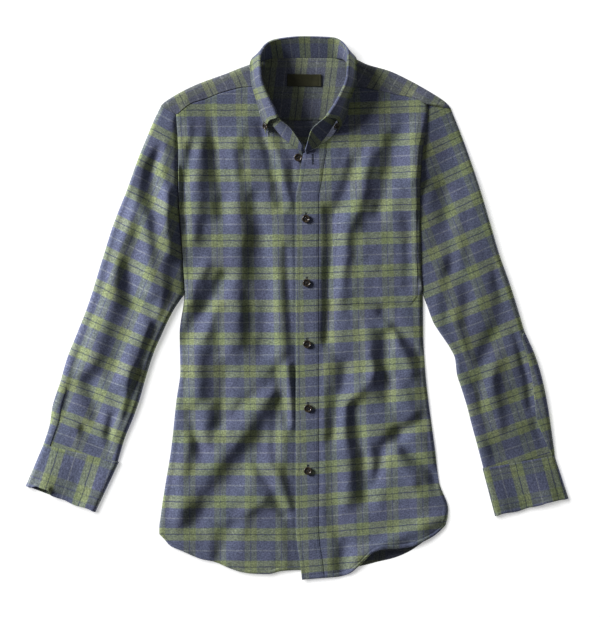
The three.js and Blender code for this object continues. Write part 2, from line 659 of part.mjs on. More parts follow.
const leftSleeve = sleeveGrid(SLEEVE_LEFT, SHOULDER_LEFT, sideLeft);
const rightSleeve = sleeveGrid(SLEEVE_RIGHT, SHOULDER_RIGHT, sideRight);

function cuffGrid({ topOuter, topInner, outer, inner }) {
  return CUFF_ROWS.map((k) => {
    const from = new THREE.Vector3(...topOuter, 0).lerp(new THREE.Vector3(...outer, 0), k);
    const to = new THREE.Vector3(...topInner, 0).lerp(new THREE.Vector3(...inner, 0), k);
    const place = (layer, share) => from.clone().lerp(to, share);
    const points = ringSection(place, from.distanceTo(to), CUFF_HEIGHT, []);
    for (const [i, share] of RING_TOP.entries()) {
      const wave = MOUTH_WAVE.rise * k * Math.sin(share * Math.PI * 2 + MOUTH_WAVE.phase);
      points[i].z += wave * smoothstep(Math.min(share, 1 - share), 0, MOUTH_WAVE.margin);
    }
    return points;
  });
}

// Collar: the seen face runs from the neck seam up the stand, over the roll and down the leaf
const collarAt = stationCurves(COLLAR);
function collarPoint(name, step) {
  const [x, y, z] = ['X', 'Y', 'Z'].map((axis) => collarAt[name + axis](step));
  return new THREE.Vector3(x, y, z);
}

function collarStation(step) {
  const base = collarPoint('base', step);
  const fold = collarPoint('fold', step);
  const edge = collarPoint('edge', step);
  const ahead = collarPoint('base', Math.min(step + TANGENT_STEP, COLLAR.length - 1));
  const behind = collarPoint('base', Math.max(step - TANGENT_STEP, 0));
  const out = new THREE.Vector3(behind.y - ahead.y, ahead.x - behind.x, 0).normalize();
  const rise = new THREE.Vector3().subVectors(fold, base).normalize();
  const side = out.clone().addScaledVector(rise, -out.dot(rise)).normalize();
  const centre = fold.clone().addScaledVector(rise, -COLLAR_ROLL);
  return { base, edge, rise, side, centre };
}

function rollPoint({ rise, side, centre }, turn) {
  return centre.clone().addScaledVector(side, -COLLAR_ROLL * Math.cos(turn))
    .addScaledVector(rise, COLLAR_ROLL * Math.sin(turn));
}

function standColumn(step, endTurn) {
  const station = collarStation(step);
  const top = rollPoint(station, 0);
  const points = STAND_LEVELS.map((k) => station.base.clone().lerp(top, k));
  points.push(rollPoint(station, endTurn / 2), rollPoint(station, endTurn));
  return points;
}

function leafColumn(step) {
  const station = collarStation(step);
  const points = [rollPoint(station, Math.PI / 2), rollPoint(station, 3 * Math.PI / 4)];
  const top = rollPoint(station, Math.PI);
  for (const { down, height } of LEAF_FALL) {
    const at = top.clone().lerp(station.edge, down);
    at.z = lerp(station.edge.z, top.z, height);
    points.push(at);
  }
  return points;
}

function collarSteps(first, last) {
  return Array.from({ length: (last - first) / COLLAR_STEP + 1 }, (_, i) => first + i * COLLAR_STEP);
}

const standSteps = collarSteps(0, COLLAR.length - 1);
const standGrid = standSteps.map((step) => standColumn(step, STAND_TURN));
const standReach = standSteps.map((step) => standColumn(step, STAND_TURN + 2 * GAP / COLLAR_ROLL));
const leafGrid = collarSteps(LEAF_FIRST, LEAF_LAST).map(leafColumn);

// A round button with a raised rim and four thread holes, its back face at z = 0
function buttonSolid(diameter) {
  const radius = diameter / 2;
  const profile = BUTTON_PROFILE.map(([x, y]) => new THREE.Vector2(x * radius, y * BUTTON_THICKNESS));
  const lathe = new THREE.LatheGeometry(profile, BUTTON_SIDES);
  lathe.rotateX(Math.PI / 2);
  let disc = solidOf(lathe);
  const spread = radius * BUTTON_HOLE_SPREAD;
  const holeRadius = BUTTON_HOLE_DIAMETER / 2;
  for (const [x, y] of [[1, 1], [-1, 1], [-1, -1], [1, -1]]) {
    const hole = new THREE.CylinderGeometry(holeRadius, holeRadius, 4 * BUTTON_THICKNESS, BUTTON_HOLE_SIDES);
    hole.rotateX(Math.PI / 2);
    hole.translate(x * spread, y * spread, 0);
    disc = disc.subtract(solidOf(hole));
  }
  return disc;
}

const shirt = new THREE.Group();
shirt.name = 'flannel_shirt';
function addPiece(name, manifold, color, roughness = 0.95) {
  const material = new THREE.MeshStandardMaterial({ color, roughness, metalness: 0 });
  const mesh = new THREE.Mesh(geometryOf(manifold), material);
  mesh.name = name;
  shirt.add(mesh);
  return mesh;
}

// Panels
const back = backGrid();
const flipped = (grid) => grid.map((row) => [...row].reverse());
addPiece('back', clothWall(flipped(back)), FLANNEL_DARK);
addPiece('yoke', clothWall(yokeGrid, { mask: inYoke }), FLANNEL_DARK);
addPiece('front_left', clothWall(leftGrid), FLANNEL);
addPiece('front_right', clothWall(rightGrid), FLANNEL);

// Bands and patches that lie on a panel, from its own points
const PATCH = { thickness: BAND_WALL, lift: GAP + BAND_WALL };
const placketGrid = block(rightGrid, [0, rightGrid.length - 1], [0, RIGHT_SHARES.indexOf(PLACKET_SHARE)]);
addPiece('front_placket', clothWall(placketGrid, PATCH), FLANNEL);
const pocketRows = [POCKET.top, POCKET.bottom].map((y) => frontRows.findIndex((row) => row.y === y));
const pocketGrid = block(rightGrid, pocketRows, [POCKET.firstColumn, POCKET.lastColumn]);
addPiece('pocket', clothWall(pocketGrid, PATCH), FLANNEL);

// Neck label on the yoke's inner face, bare
const labelColumns = yokeGrid.filter((column) => LABEL_COLUMNS.includes(column[0].x));
const labelGrid = labelColumns.map((column) => LABEL_ROWS.map((y) => {
  const at = column.find((point) => point.y === y).clone();
  at.z += WALL + GAP + LABEL_WALL;
  return at;
}));
addPiece('neck_label', clothWall(flipped(labelGrid), { thickness: LABEL_WALL }), LABEL_OLIVE);

// Gauntlet bands over the sleeve slits, along the outer edge of each sleeve
function gauntletGrid(sleeve) {
  return sleeve.slice(GAUNTLET_SECTION).map((section, i, all) => {
    const inner = section[0].clone().lerp(section[1], GAUNTLET_SHARE);
    const line = [inner, section[0], section[section.length - 1]].map((point) => point.clone());
    if (i === all.length - 1) {
      const before = sleeve[sleeve.length - 2][0];
      line.forEach((point) => point.lerp(before.clone().add(point).sub(section[0]), GAUNTLET_OVERRUN));
    }
    return line;
  });
}
const BAND = { thickness: BAND_WALL, lift: BAND_WALL + 2 * GAP };
addPiece('sleeve_placket_left', clothWall(flipped(gauntletGrid(leftSleeve)), BAND), FLANNEL_DARK);
addPiece('sleeve_placket_right', clothWall(gauntletGrid(rightSleeve), BAND), FLANNEL_DARK);

// Sleeves and cuffs
const spaced = (grid, options = {}) => clothWall(grid, { ...options, thickness: WALL + 2 * GAP, lift: GAP });
const yokeSpace = spaced(yokeGrid, { mask: inYoke });
const bodySpace = [yokeSpace, spaced(leftGrid), spaced(rightGrid), spaced(flipped(back))];
addPiece('sleeve_left', clearOf(clothWall(leftSleeve, { ring: true }), bodySpace), FLANNEL);
addPiece('sleeve_right', clearOf(clothWall(flipped(rightSleeve), { ring: true }), bodySpace), FLANNEL);
addPiece('cuff_left', clothWall(cuffGrid(CUFF_LEFT), { ring: true }), FLANNEL);
addPiece('cuff_right', clothWall(flipped(cuffGrid(CUFF_RIGHT)), { ring: true }), FLANNEL);

// Collar
const placketSpace = clothWall(placketGrid, { thickness: BAND_WALL + 2 * GAP, lift: 2 * GAP + BAND_WALL });
const seatSpace = [...bodySpace, placketSpace];
const standSpace = clothWall(standReach, { thickness: COLLAR_WALL + 2 * GAP, lift: GAP });
const stand = clearOf(clothWall(standGrid, { thickness: COLLAR_WALL }), seatSpace);
addPiece('collar_stand', stand, FLANNEL_DARK);
const leafWall = clothWall(leafGrid, { thickness: COLLAR_WALL });
addPiece('collar_leaf', clearOf(leafWall, [...seatSpace, standSpace]), FLANNEL);

// Buttons, each seated on the plane through the cloth under its rim
const down = new THREE.Vector3(0, 0, -1);
function seatPlane(seat, x, y, radius) {
  const rim = Array.from({ length: SEAT_PROBES }, (_, i) => {
    const turn = i / SEAT_PROBES * 2 * Math.PI;
    const from = new THREE.Vector3(x + radius * Math.cos(turn), y + radius * Math.sin(turn), PROBE_HEIGHT);
    return new THREE.Raycaster(from, down).intersectObject(seat)[0]?.point;
  }).filter(Boolean);
  const middle = rim.reduce((sum, point) => sum.add(point), new THREE.Vector3()).divideScalar(rim.length);
  const normal = new THREE.Vector3();
  rim.forEach((point, i) => {
    const a = point.clone().sub(middle);
    const b = rim[(i + 1) % rim.length].clone().sub(middle);
    normal.add(a.cross(b));
  });
  normal.normalize();
  const proud = Math.max(...rim.map((point) => point.clone().sub(middle).dot(normal)));
  return { normal, point: middle.addScaledVector(normal, proud) };
}

function addButton(name, diameter, seatName, x, y) {
  const { normal, point } = seatPlane(shirt.getObjectByName(seatName), x, y, BUTTON_RIM_SHARE * diameter);
  const button = addPiece(name, buttonSolid(diameter), TORTOISE, 0.35);
  button.position.copy(point).addScaledVector(normal, BUTTON_SEAT);
  button.quaternion.setFromUnitVectors(new THREE.Vector3(0, 0, 1), normal);
}
addButton('button_front_1', BUTTON_DIAMETER, 'front_left', UNDONE_BUTTON.x, UNDONE_BUTTON.y);
FRONT_BUTTONS.forEach(({ x, y }, i) => {
  addButton(`button_front_${i + 2}`, BUTTON_DIAMETER, 'front_placket', x, y);
});
for (const { side, x, y } of COLLAR_BUTTONS) {
  addButton(`button_collar_${side}`, COLLAR_BUTTON_DIAMETER, 'collar_leaf', x, y);
}

export default shirt;
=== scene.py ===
# Looks of a check flannel shirt with a button-down collar, laid flat on its back. Lengths are in
# millimetres in the part's frame: +Z is up from the floor and +Y points towards the collar.
import math

import bpy
import numpy as np
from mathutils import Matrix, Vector


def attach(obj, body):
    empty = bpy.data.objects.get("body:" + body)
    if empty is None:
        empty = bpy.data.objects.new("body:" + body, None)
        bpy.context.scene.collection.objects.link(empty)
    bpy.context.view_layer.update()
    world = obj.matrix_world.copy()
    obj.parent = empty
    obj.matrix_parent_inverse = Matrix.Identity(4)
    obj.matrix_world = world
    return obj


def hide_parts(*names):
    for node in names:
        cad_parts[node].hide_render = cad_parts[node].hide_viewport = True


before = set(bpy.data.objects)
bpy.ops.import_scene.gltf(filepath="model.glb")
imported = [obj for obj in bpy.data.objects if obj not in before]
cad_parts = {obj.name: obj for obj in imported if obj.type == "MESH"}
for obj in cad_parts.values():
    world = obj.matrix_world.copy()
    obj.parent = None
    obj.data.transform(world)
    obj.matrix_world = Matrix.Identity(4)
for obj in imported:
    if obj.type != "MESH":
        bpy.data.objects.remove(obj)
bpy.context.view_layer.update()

MM = 0.001
TINY = 1e-9
# One pixel of the photograph, and the photograph's height in pixels
PIXEL = 1.52
PHOTO_HEIGHT = 617

# Thickness of the cloth
CLOTH = 0.75
BAND_CLOTH = 0.9
BACK_CLOTH = 0.6
CUFF_CLOTH = 1.2
STAND_CLOTH = 1.6
LEAF_CLOTH = 1.0
TAPE = 0.45

# Sides, where the fronts turn down to the floor or into the armhole
EDGE_ROLL = 8.0
EDGE_FALL = 3.0
ARMHOLE_HEIGHT = 9.0
ARMHOLE_TURN = math.radians(55)
UNDERARM_Y = 20.0
SIDE_DIP = 3.5
SIDE_DIP_WIDTHS = (17, 14)
# The front underneath dips along the closing edge
UNDERLAP_DROP = 2.8
CLOSING_GROOVE = 1.5
# Folds are damped near the placket band and the shoulder seams, and limited in height
FOLD_LIMIT = 12.0
FOLD_GAIN = 1.1
FOLD_FREE_BAND = 12.0
SEAM_FOLD_SHARE = 0.25
SEAM_FOLDS_FADE = (258, 305)
# Rows of the fronts are level between these two heights
UPPER_ROW_Y = 222.0
LOWER_ROW_Y = -320.0
TOP_ROWS, LEVEL_ROWS, HEM_ROWS = 34, 212, 24
HEM_ROW_GAPS = (7.2, 6.5, 6.0, 5.5, 4.5, 3.0, 1.5, 0.6, 0.0)
HEM_FIRST_GAP = 8.5
HEM_STITCH = 6.0
LEFT_COLUMNS, RIGHT_COLUMNS = 74, 70
# Placket and pocket: sizes, lifts over the front, and the stitching's distance from an edge
PLACKET_WIDTH = 34.0
PLACKET_LIFT = 0.95
FRONT_WIDTH = 186.0
STITCH_INSET = 6.0
STITCH_WIDTH = 0.9
POCKET_LIFT = 0.85
POCKET_TOP = 150.7
POCKET_BOTTOM = 5
POCKET_HEM = 22
# Back, yoke and shoulders
BACK_SEAM_Y = 288.0
BACK_LOW_Y = -318.0
BACK_HEIGHT = 0.9
BACK_ROWS, BACK_HEM_ROWS, BACK_COLUMNS = 150, 14, 110
YOKE_ROWS = 34
YOKE_LAP = 1.6
YOKE_NECK_X = (-60, 76)
SHOULDER_ROLL = 7.0
SEAM_OVERLAP = 1.03
LEAF_LIFT = 2.6
LEAF_LIFT_Y = (345, 368)
# Sleeves and cuffs
SEAM_REACH = 0.35
SLEEVE_CROWN = 0.125
SLEEVE_FULL_HEIGHT = 15
FLOOR_GAP = 0.15
CUFF_HEIGHT = 13.0
CUFF_DEPTH = 68
CUFF_STITCH = 5.5
GAUNTLET_LIFT = 0.6
# Collar
COLLAR_ROLL = 3.0
STAND_ROLL = COLLAR_ROLL - 0.9
LEAF_ROLL = COLLAR_ROLL + 0.1
LEAF_FIRST, LEAF_LAST = 2, 16
LEAF_BOW = 0.4
# Label
LABEL_LEFT, LABEL_RIGHT, LABEL_LOW, LABEL_HIGH = -15.0, 37.0, 338.2, 356.8
LABEL_ROWS, LABEL_COLUMNS = 26, 66
# Buttons
BUTTON_THICK = 2.6
HOLE_RADIUS = 0.85
HOLE_DEPTH = 1.15
HOLE_SPREAD = 0.26
FACE_RINGS = 26
THREAD_RADIUS = 0.23
# Stitches: from one to the next, length, lift, half width and height
STITCH_STEP, STITCH_LENGTH = 3.1, 2.5
FINE_STEP, FINE_LENGTH = 1.9, 1.6
STITCH_LIFT, STITCH_HALF, STITCH_HEIGHT = 0.08, 0.3, 0.26

# Waves in the cloth: height, grain along x and along y, and the place in the noise
BODY_WANDER_X = ((3.2, 46, 38, 0), (1.2, 17, 15, 3.3))
BODY_WANDER_Y = ((3.2, 40, 44, 9.1),)
BODY_RIPPLE = ((0.55, 13, 30, 5.2), (0.3, 7, 12, 2.4), (0.7, 30, 55, 1.1))
HEM_PUCKER = ((0.45, 6, 40, 4.4),)
PLACKET_PUCKER = ((0.25, 9, 9, 6.6), (0.3, 24, 30, 2.6))
POCKET_PUCKER = ((0.3, 12, 12, 8.1), (0.35, 30, 26, 3.1))
BACK_WAVES = ((0.35, 26, 44, 1.9), (0.25, 12, 16, 4.7))
YOKE_WAVES = ((0.3, 22, 30, 1.2),)
SLEEVE_WANDER = ((3.0, 40, 40, 2.2),)
SLEEVE_RIPPLE = ((0.8, 30, 34, 6.1), (0.4, 13, 15, 3.9))
LABEL_DRIFT = ((0.25, 18, 30, 7.7),)
LABEL_WAVES = ((0.25, 9, 8, 5.5),)

# The check: its usual repeat across and along the cloth. Each row of a table below has a direction in
# degrees, a band's place in that direction, the repeat, and an offset in repeats.
REPEAT_ACROSS = 46.0
REPEAT_ALONG = 49.6
SLEEVE_LEFT_BANDS = ((63, 43.4, 49.6), (65, 4.1, 50.8, -1), (70, 26.2, 50.4, -1))
SLEEVE_LEFT_LINES = ((-24, 3.5, 46), (-23, 5.3, 46))
SLEEVE_RIGHT_BANDS = ((115, 36.3, 48.4), (112, 49.0, 49.2), (109, 15.6, 49.6, -1))
SLEEVE_RIGHT_LINES = ((20, 38.6, 46), (17, 44.9, 46))
SLEEVE_MIDDLE_Y = 13
BAND_CHECK_SHIFT = (0.3, 0.14)
YOKE_LEFT_WAY = (0.906, 0.423)
YOKE_RIGHT_WAY = (0.87, 0.5)
COLLAR_CHECK_ENDS = (4.35, 13.6)
# y on the left front, and the x of a band's middle there
LEFT_BAND = np.array([[300, -38], [130, -29], [-180, -24]])

# y, left edge, right edge, height at the middle, height at the sides
BODY = np.array([
    [340, -186, 200, 12, 11], [294, -184, 198.5, 12.5, 11.5], [238, -181.5, 190.5, 13, 12],
    [195, -181.5, 188, 14.5, 12.5], [150, -180, 187, 15.5, 12.5], [104, -176.5, 188, 16, 12.5],
    [58, -173.5, 189, 16.5, 12.5], [20, -172, 191.5, 17, 12.5], [-38, -179, 192, 17, 12.5],
    [-94, -178, 195, 17, 12.5], [-141, -184, 200, 17, 12], [-215, -192, 210, 16.5, 12],
    [-264, -200, 216, 15.5, 11.5], [-306, -206.5, 230, 14, 11], [-340, -210, 226, 12.5, 10.5],
    [-410, -210, 222, 10, 9],
])
# Edges of the fronts, hems and seams: x and y, or y and x for the closing edge and the one under it
CLOSING = np.array([
    [238, 10], [221, 6.6], [195, 2.8], [165, -2], [-323, -2], [-354, -0.4], [-385, 4.3], [-413, 7.4],
])
UNDERLAP = np.array([
    [238, 9], [200, 19], [160, 27], [120, 30], [-400, 30],
])
TOP_LEFT = np.array([
    [9, 239], [-4, 246.5], [-18, 256], [-40, 282], [-54, 315], [-64, 338], [-84, 336.5], [-103, 332],
    [-121, 326.5], [-140, 319], [-161, 312], [-175, 302], [-184, 293.5],
])
TOP_RIGHT = np.array([
    [10, 236], [22, 241], [38, 250], [56, 266], [66, 290], [72, 315], [79, 338], [104, 336], [126, 331],
    [150, 325.5], [173, 321], [190, 314.5], [199, 308],
])
HEM_LEFT = np.array([
    [30, -398], [1, -398], [-22, -399], [-45, -404], [-69, -403], [-84, -401], [-100, -396], [-127, -385],
    [-146, -381], [-177, -368], [-193, -361], [-203, -350],
])
HEM_RIGHT = np.array([
    [7, -412.6], [38, -410], [63, -408], [78, -404], [95, -391], [118, -370], [132, -366], [154, -365],
    [175, -362], [187, -357], [208, -346], [219, -337],
])
HEM_BACK = np.array([
    [-208, -338], [-190, -357], [-146, -377], [-100, -391], [-69, -398], [-22, -395], [60, -398],
    [95, -392.5], [121, -386], [146, -380], [170.5, -370], [190, -357], [206, -345], [224, -330],
])
# Shoulders from the armhole to the neck: fold x, fold y, front seam x, front seam y
SHOULDER_LEFT = np.array([
    [-207, 308, -184, 295.4], [-202, 313, -180, 298.2], [-198, 316, -175, 302.7], [-180, 327, -161, 312.7],
    [-156, 339, -140, 319.7], [-130, 349, -121, 327.2], [-110, 356, -103, 332.7], [-85, 366, -84, 337.2],
    [-60, 375, -64, 338.7],
])
SHOULDER_RIGHT = np.array([
    [234, 304, 199, 309.6], [227, 312, 195, 312.2], [221, 317, 190, 315.2], [197, 332, 173, 321.7],
    [170, 347, 150, 326.2], [140, 361, 126, 331.7], [106, 371, 104, 336.7], [91, 378, 91, 338.2],
    [76, 383, 79, 338.7],
])
NECK_BACK = np.array([
    [-60, 370.5], [-50, 379.5], [-34, 382.5], [-15, 382.5], [11, 382.5], [37, 382.5], [52, 382.5],
    [66, 381.5], [76, 378.5],
])
# Sleeve sections from the armhole to the cuff: outer x and y, inner x and y, height
SLEEVE_LEFT = np.array([
    [-207.5, 308, -172.9, 20.5, 9], [-212, 299, -174.6, 18.4, 12.5], [-219, 284, -178, 13.5, 14.5],
    [-228, 262, -181.5, 8, 16], [-243, 225, -186.5, 0, 17], [-259, 180, -192, -10, 18],
    [-279, 129, -199, -24, 18], [-298, 69, -207, -42, 18], [-317, 8, -216, -62, 17.5],
    [-336, -41, -224, -85, 17], [-350, -76, -231, -108, 17], [-361, -114, -240, -140, 16.5],
    [-372, -150, -250, -168, 15.5], [-376, -176, -262, -197, 14.5], [-387.2, -211.2, -274, -237, 9.8],
])
SLEEVE_RIGHT = np.array([
    [234.5, 304, 192.4, 18.5, 9], [237, 297, 194, 14, 9.6], [243, 282, 197.5, 5, 10.5],
    [254, 253, 202, -8, 12.5], [267, 216, 207, -21, 15.5], [280, 176, 215, -34, 18],
    [293, 132, 224, -47, 18], [308, 81, 233, -61, 18], [323, 39, 240, -76, 17.5], [336, -2, 243, -100, 17],
    [347, -38, 250, -122, 17], [361, -70, 257.5, -146, 16.5], [372, -105, 265, -175, 15.5],
    [381.5, -150, 274, -208, 14.5], [392.4, -228, 284.6, -248.2, 9.8],
])
# Corners of the cuffs: outer and inner at the sleeve, then outer and inner at the mouth
CUFF_LEFT = ((-386, -207), (-271, -233.5), (-413, -270), (-307, -310))
CUFF_RIGHT = ((391.5, -223.5), (282, -243.5), (413, -289), (301, -316))
# Collar stations round the neck: seam, fold and leaf edge, each x, y, z
COLLAR = np.array([
    [9, 239, 12.2, 8, 248, 21, 0, 0, 0], [-19, 258, 14.5, -12, 276, 31, 0, 0, 0],
    [-41, 285, 14.5, -29, 289, 40, -47, 262, 15.2], [-49, 301, 14.5, -34, 301, 43, -55, 288, 15],
    [-56, 317, 14.5, -43, 318, 45, -62, 315, 15], [-62.5, 343, 14, -55, 350, 45, -70, 344, 15],
    [-58, 366, 10, -57, 378, 40, -72, 371, 15], [-52, 376.3, 6, -52, 394, 32, -62, 385, 6],
    [-34, 380.3, 2.9, -38, 407, 22, -38, 377, 0], [10, 380.3, 2.9, 8, 413.4, 18, 8, 371, 0],
    [52, 380.3, 2.9, 54, 411.5, 20, 56, 377, 0], [67, 379, 6, 72, 400, 30, 80, 389, 6],
    [74, 375, 10, 78, 384, 40, 91, 376, 15], [80, 343, 14, 76, 352, 45, 91, 348, 15],
    [74, 316, 14.5, 61, 316, 45, 80, 314, 15], [67, 299, 14.5, 52, 302, 43, 75, 290, 15],
    [58, 285, 14.5, 44, 291, 40, 61, 267, 15.2], [37, 254, 14.5, 20.5, 270, 31, 0, 0, 0],
    [13, 236, 14, 13, 242, 22, 0, 0, 0],
])
# The leaf's height over its way down, as shares
LEAF_FALL = np.array([
    [0, 1], [0.3, 0.72], [0.6, 0.27], [0.8, 0.05], [1, 0],
])
# Main folds of the body: from x, y, to x, y, rise, width
BODY_FOLDS = np.array([
    [-166, 350, -170, 221, 3.6, 9], [-152, 248, -157, 111, 6.5, 13], [-163, 244, -182, 127, -6.5, 10],
    [-178, 127, -177, 14, -5.1, 8], [-133, 317, -112, 140, -6.5, 12], [-82, 340, -77, 314, -3, 8],
    [-74, 305, -90, 243, 1.8, 9], [-55, 279, -25, 156, -4.3, 9], [-42, 264, -9, 159, 1.6, 6],
    [-25, 271, -1, 188, -2.3, 7], [-63, 162, -48, -65, -6, 14], [-46, 145, -19, -66, 2.5, 10],
    [-17, 88, -3, -48, -1.6, 7], [-142, 64, -164, 10, 4.4, 10], [-107, 49, -169, -46, -6.9, 12],
    [-123, 13, -145, -42, 4.2, 9], [-149, -66, -151, -126, 8, 15], [-164, -159, -144, -222, -4.2, 11],
    [-134, -149, -138, -194, 3.7, 11], [-44, -114, -115, -177, -2.3, 10], [-44, -136, -175, -301, 4.2, 15],
    [-32, -99, -17, -171, -4.3, 9], [-13, -92, 0, -177, 5.5, 9], [-63, -234, -20, -313, -2.8, 8],
    [-40, -232, -11, -301, 2.9, 8], [-99, -327, -116, -379, -3.8, 12], [88, 221, 61, 145, -3.8, 10],
    [53, 146, 43, -45, -5.7, 11], [115, 239, 85, 135, 4.4, 11], [77, 138, 66, 19, 4, 10],
    [152, 254, 126, 148, -5.6, 14], [191, 319, 180, 199, 6.2, 12], [138, -26, 173, -97, 3.9, 10],
    [116, -96, 83, -140, 4.1, 11], [68, -139, 76, -294, 4.3, 12], [73, -86, 51, -195, -4.9, 12],
    [88, -150, 104, -290, -5.5, 11], [128, -225, 118, -262, -5, 10], [153, -217, 176, -263, 3.4, 10],
    [93, -378, 224, -317, 3.7, 11], [76, -360, 70, -399, -4.1, 11], [162, 329, 158, 273, -2.2, 11],
    [161, 105, 161, 70, 1.1, 11], [194, -33, 210, -261, -0.9, 8], [131, -5, 188, -78, -5, 10],
    [50, -56, 71, -96, -0.9, 7], [76, -2, 100, -34, -1.4, 7], [-123, -40, -114, -62, -1.4, 8],
    [-170, -206, -177, -318, 4.2, 12], [-74, 14, -69, -57, -2.8, 11], [-54, -294, -100, -324, 2.9, 10],
])
# Finer creases of the fronts
BODY_CREASES = np.array([
    [182, 200, 184, 50, 3, 11], [-47, 142, -41, -48, -5, 16], [-90, 142, -96, -48, 4, 16],
    [-108, -94, -114, -170, -4, 12], [-60, -200, -148, -314, -5, 19], [-38, -150, -54, -212, -3.5, 16],
    [-66, 110, -72, -30, -3, 14], [-148, -291, -60, -285, 4, 22], [133, -40, 135, -139, -6, 12],
    [105, -33, 113, -97, 3, 10], [188, -170, 156, -188, -5, 10], [156, -188, 126, -215, -5, 10],
    [156, -198, 213, -262, -5, 10], [-32, -139, -32, -223, -3.5, 8], [172, 130, 176, 40, -3, 14],
    [-128, 330, -112, 180, 2, 6], [-100, 250, -88, 160, 2, 8], [190, 290, 192, 60, -1.5, 8],
    [40, -90, 33, -330, 1.5, 9], [-100, -60, -106, -180, 1.2, 12], [-70, -260, -84, -370, 1.2, 10],
    [160, -120, 178, -160, 1.4, 10], [60, -300, 66, -395, -1.5, 10], [185, -290, 190, -350, 1.5, 10],
])
# Folds of both sleeves
SLEEVE_FOLDS = np.array([
    [293, 104, 299, 51, 2.5, 12], [292, 170, 325, 60, -4, 28], [325, 60, 352, -30, -4, 24],
    [352, -30, 384, -150, -3, 20], [250, -84, 262, -118, -3, 9], [296, -106, 308, -177, 4, 10],
    [275, -116, 284, -177, -4, 9], [266, -200, 325, -228, -3.5, 9], [258, 285, 292, 170, -8, 28],
    [213, 290, 207, 160, -6, 10], [239, 298, 241, 252, -3, 3.5], [-326, -184, -280, -227, -4, 9],
    [-341, -76, -355, -146, -3.6, 10], [-360, -168, -373, -207, -3.4, 8], [-262, -160, -268, -190, 2.5, 7],
    [337, -44, 355, -150, -3.8, 7], [361, -176, 386, -226, -3, 6], [300, -226, 340, -218, -2.5, 8],
    [222, 180, 236, 60, -5, 12], [226, 292, 208, 100, -6, 16], [236, 240, 226, 150, -3, 22],
    [-221, 235, -221, 161, -7.6, 13], [-206, 141, -204, -8, 5, 12], [-264, 85, -253, 8, -5, 13],
    [-251, -94, -259, -152, 4.1, 12], [-279, -164, -284, -190, -3.6, 7], [-284, -204, -275, -228, -3.2, 7],
    [-196, 175, -193, 85, 4.9, 10], [-220, 301, -227, 236, 5.3, 11], [-233, 148, -222, 25, 8, 13],
    [-280, 14, -316, -83, 8, 18], [-234, -23, -264, -110, 6.6, 14], [224, 278, 226, 167, -0.8, 10],
    [237, 63, 223, -9, -4, 12], [296, -43, 280, -80, -5.1, 13], [295, -89, 285, -169, 3.4, 12],
    [263, 256, 280, 146, 4.5, 10], [254, 135, 261, 11, -2.7, 11], [306, -32, 330, -139, -0.6, 9],
    [242, -19, 252, -95, 3.3, 11], [-204, 251, -199, 121, 2, 8], [-251, 160, -276, 44, 8, 14],
    [-223, -29, -236, -88, 3.5, 10], [-313, -109, -305, -161, -5.1, 13], [-356, -165, -366, -198, 1.3, 6],
    [-340, -173, -347, -205, 0.8, 6], [-333, -180, -337, -212, 1.8, 6], [260, 231, 266, 151, 3.1, 9],
    [305, 64, 307, -23, -2.8, 12], [249, 47, 258, -24, -3.1, 11], [312, -150, 322, -215, -0.7, 8],
])
# Sleeve plackets: y along the sleeve and width from its outer edge
GAUNTLET_LEFT = np.array([
    [-112, 18], [-160, 18], [-190, 14.5], [-212, 13],
])
GAUNTLET_RIGHT = np.array([
    [-40, 13], [-100, 20], [-158, 25], [-195, 16], [-222, 7],
])
# Profile of a button from the middle of its face: share of the radius, share of the height
BUTTON_FACE = np.array([
    [0, 0.60], [0.2, 0.58], [0.4, 0.54], [0.56, 0.55],
])
# The same over the rim to the back
BUTTON_RIM = np.array([
    [0.62, 0.64], [0.68, 0.84], [0.75, 0.97], [0.83, 1], [0.91, 0.94], [0.97, 0.78], [1, 0.55],
    [0.99, 0.32], [0.93, 0.1], [0.82, 0.0],
])


def smooth(value, low, high):
    """0 up to low and 1 from high on, with a soft rise between them."""
    share = np.clip((np.asarray(value, float) - low) / (high - low), 0, 1)
    return share * share * (3 - 2 * share)


def fade(value, low, high):
    """1 up to low and 0 from high on."""
    return 1 - smooth(value, low, high)


def bell(value, middle, width):
    """1 at the middle, falling to 0 on both sides."""
    return np.exp(-((value - middle) / width) ** 2)


def lerp(a, b, share):
    return a + (b - a) * share


def unit(vectors):
    return vectors / np.maximum(np.linalg.norm(vectors, axis=-1, keepdims=True), TINY)


def run_along(points):
    """Distance from a line's start to each of its points."""
    return np.concatenate([[0], np.cumsum(np.linalg.norm(np.diff(points, axis=0), axis=1))])


def read_line(at, run, points):
    """Points of a line at given distances along it."""
    return np.stack([np.interp(at, run, points[:, k]) for k in range(points.shape[1])], axis=-1)


def curve(keys, values):
    """A smooth curve through points that never overshoots one."""
    order = np.argsort(keys)
    key, value = np.asarray(keys, float)[order], np.asarray(values, float)[order]
    rate = np.diff(value) / np.diff(key)
    before, after = np.concatenate([rate[:1], rate]), np.concatenate([rate, rate[-1:]])
    same_way = before * after > 0
    slope = np.where(same_way, 2 * before * after / np.where(same_way, before + after, 1), 0)

    def read(at):
        at = np.asarray(at, float)
        i = np.clip(np.searchsorted(key, at) - 1, 0, len(key) - 2)
        span = key[i + 1] - key[i]
        t = np.clip((at - key[i]) / span, 0, 1)
        t2, t3 = t * t, t * t * t
        start = (2 * t3 - 3 * t2 + 1) * value[i] + (t3 - 2 * t2 + t) * span * slope[i]
        return start + (3 * t2 - 2 * t3) * value[i + 1] + (t3 - t2) * span * slope[i + 1]
    return read


def column_curve(table, column=1):
    """One of a table's columns as a curve over the first one."""
    return curve(table[:, 0], table[:, column])


def stations(rows):
    """One curve for each column of a table, read at a row's number."""
    return [curve(np.arange(len(rows)), rows[:, k]) for k in range(rows.shape[1])]


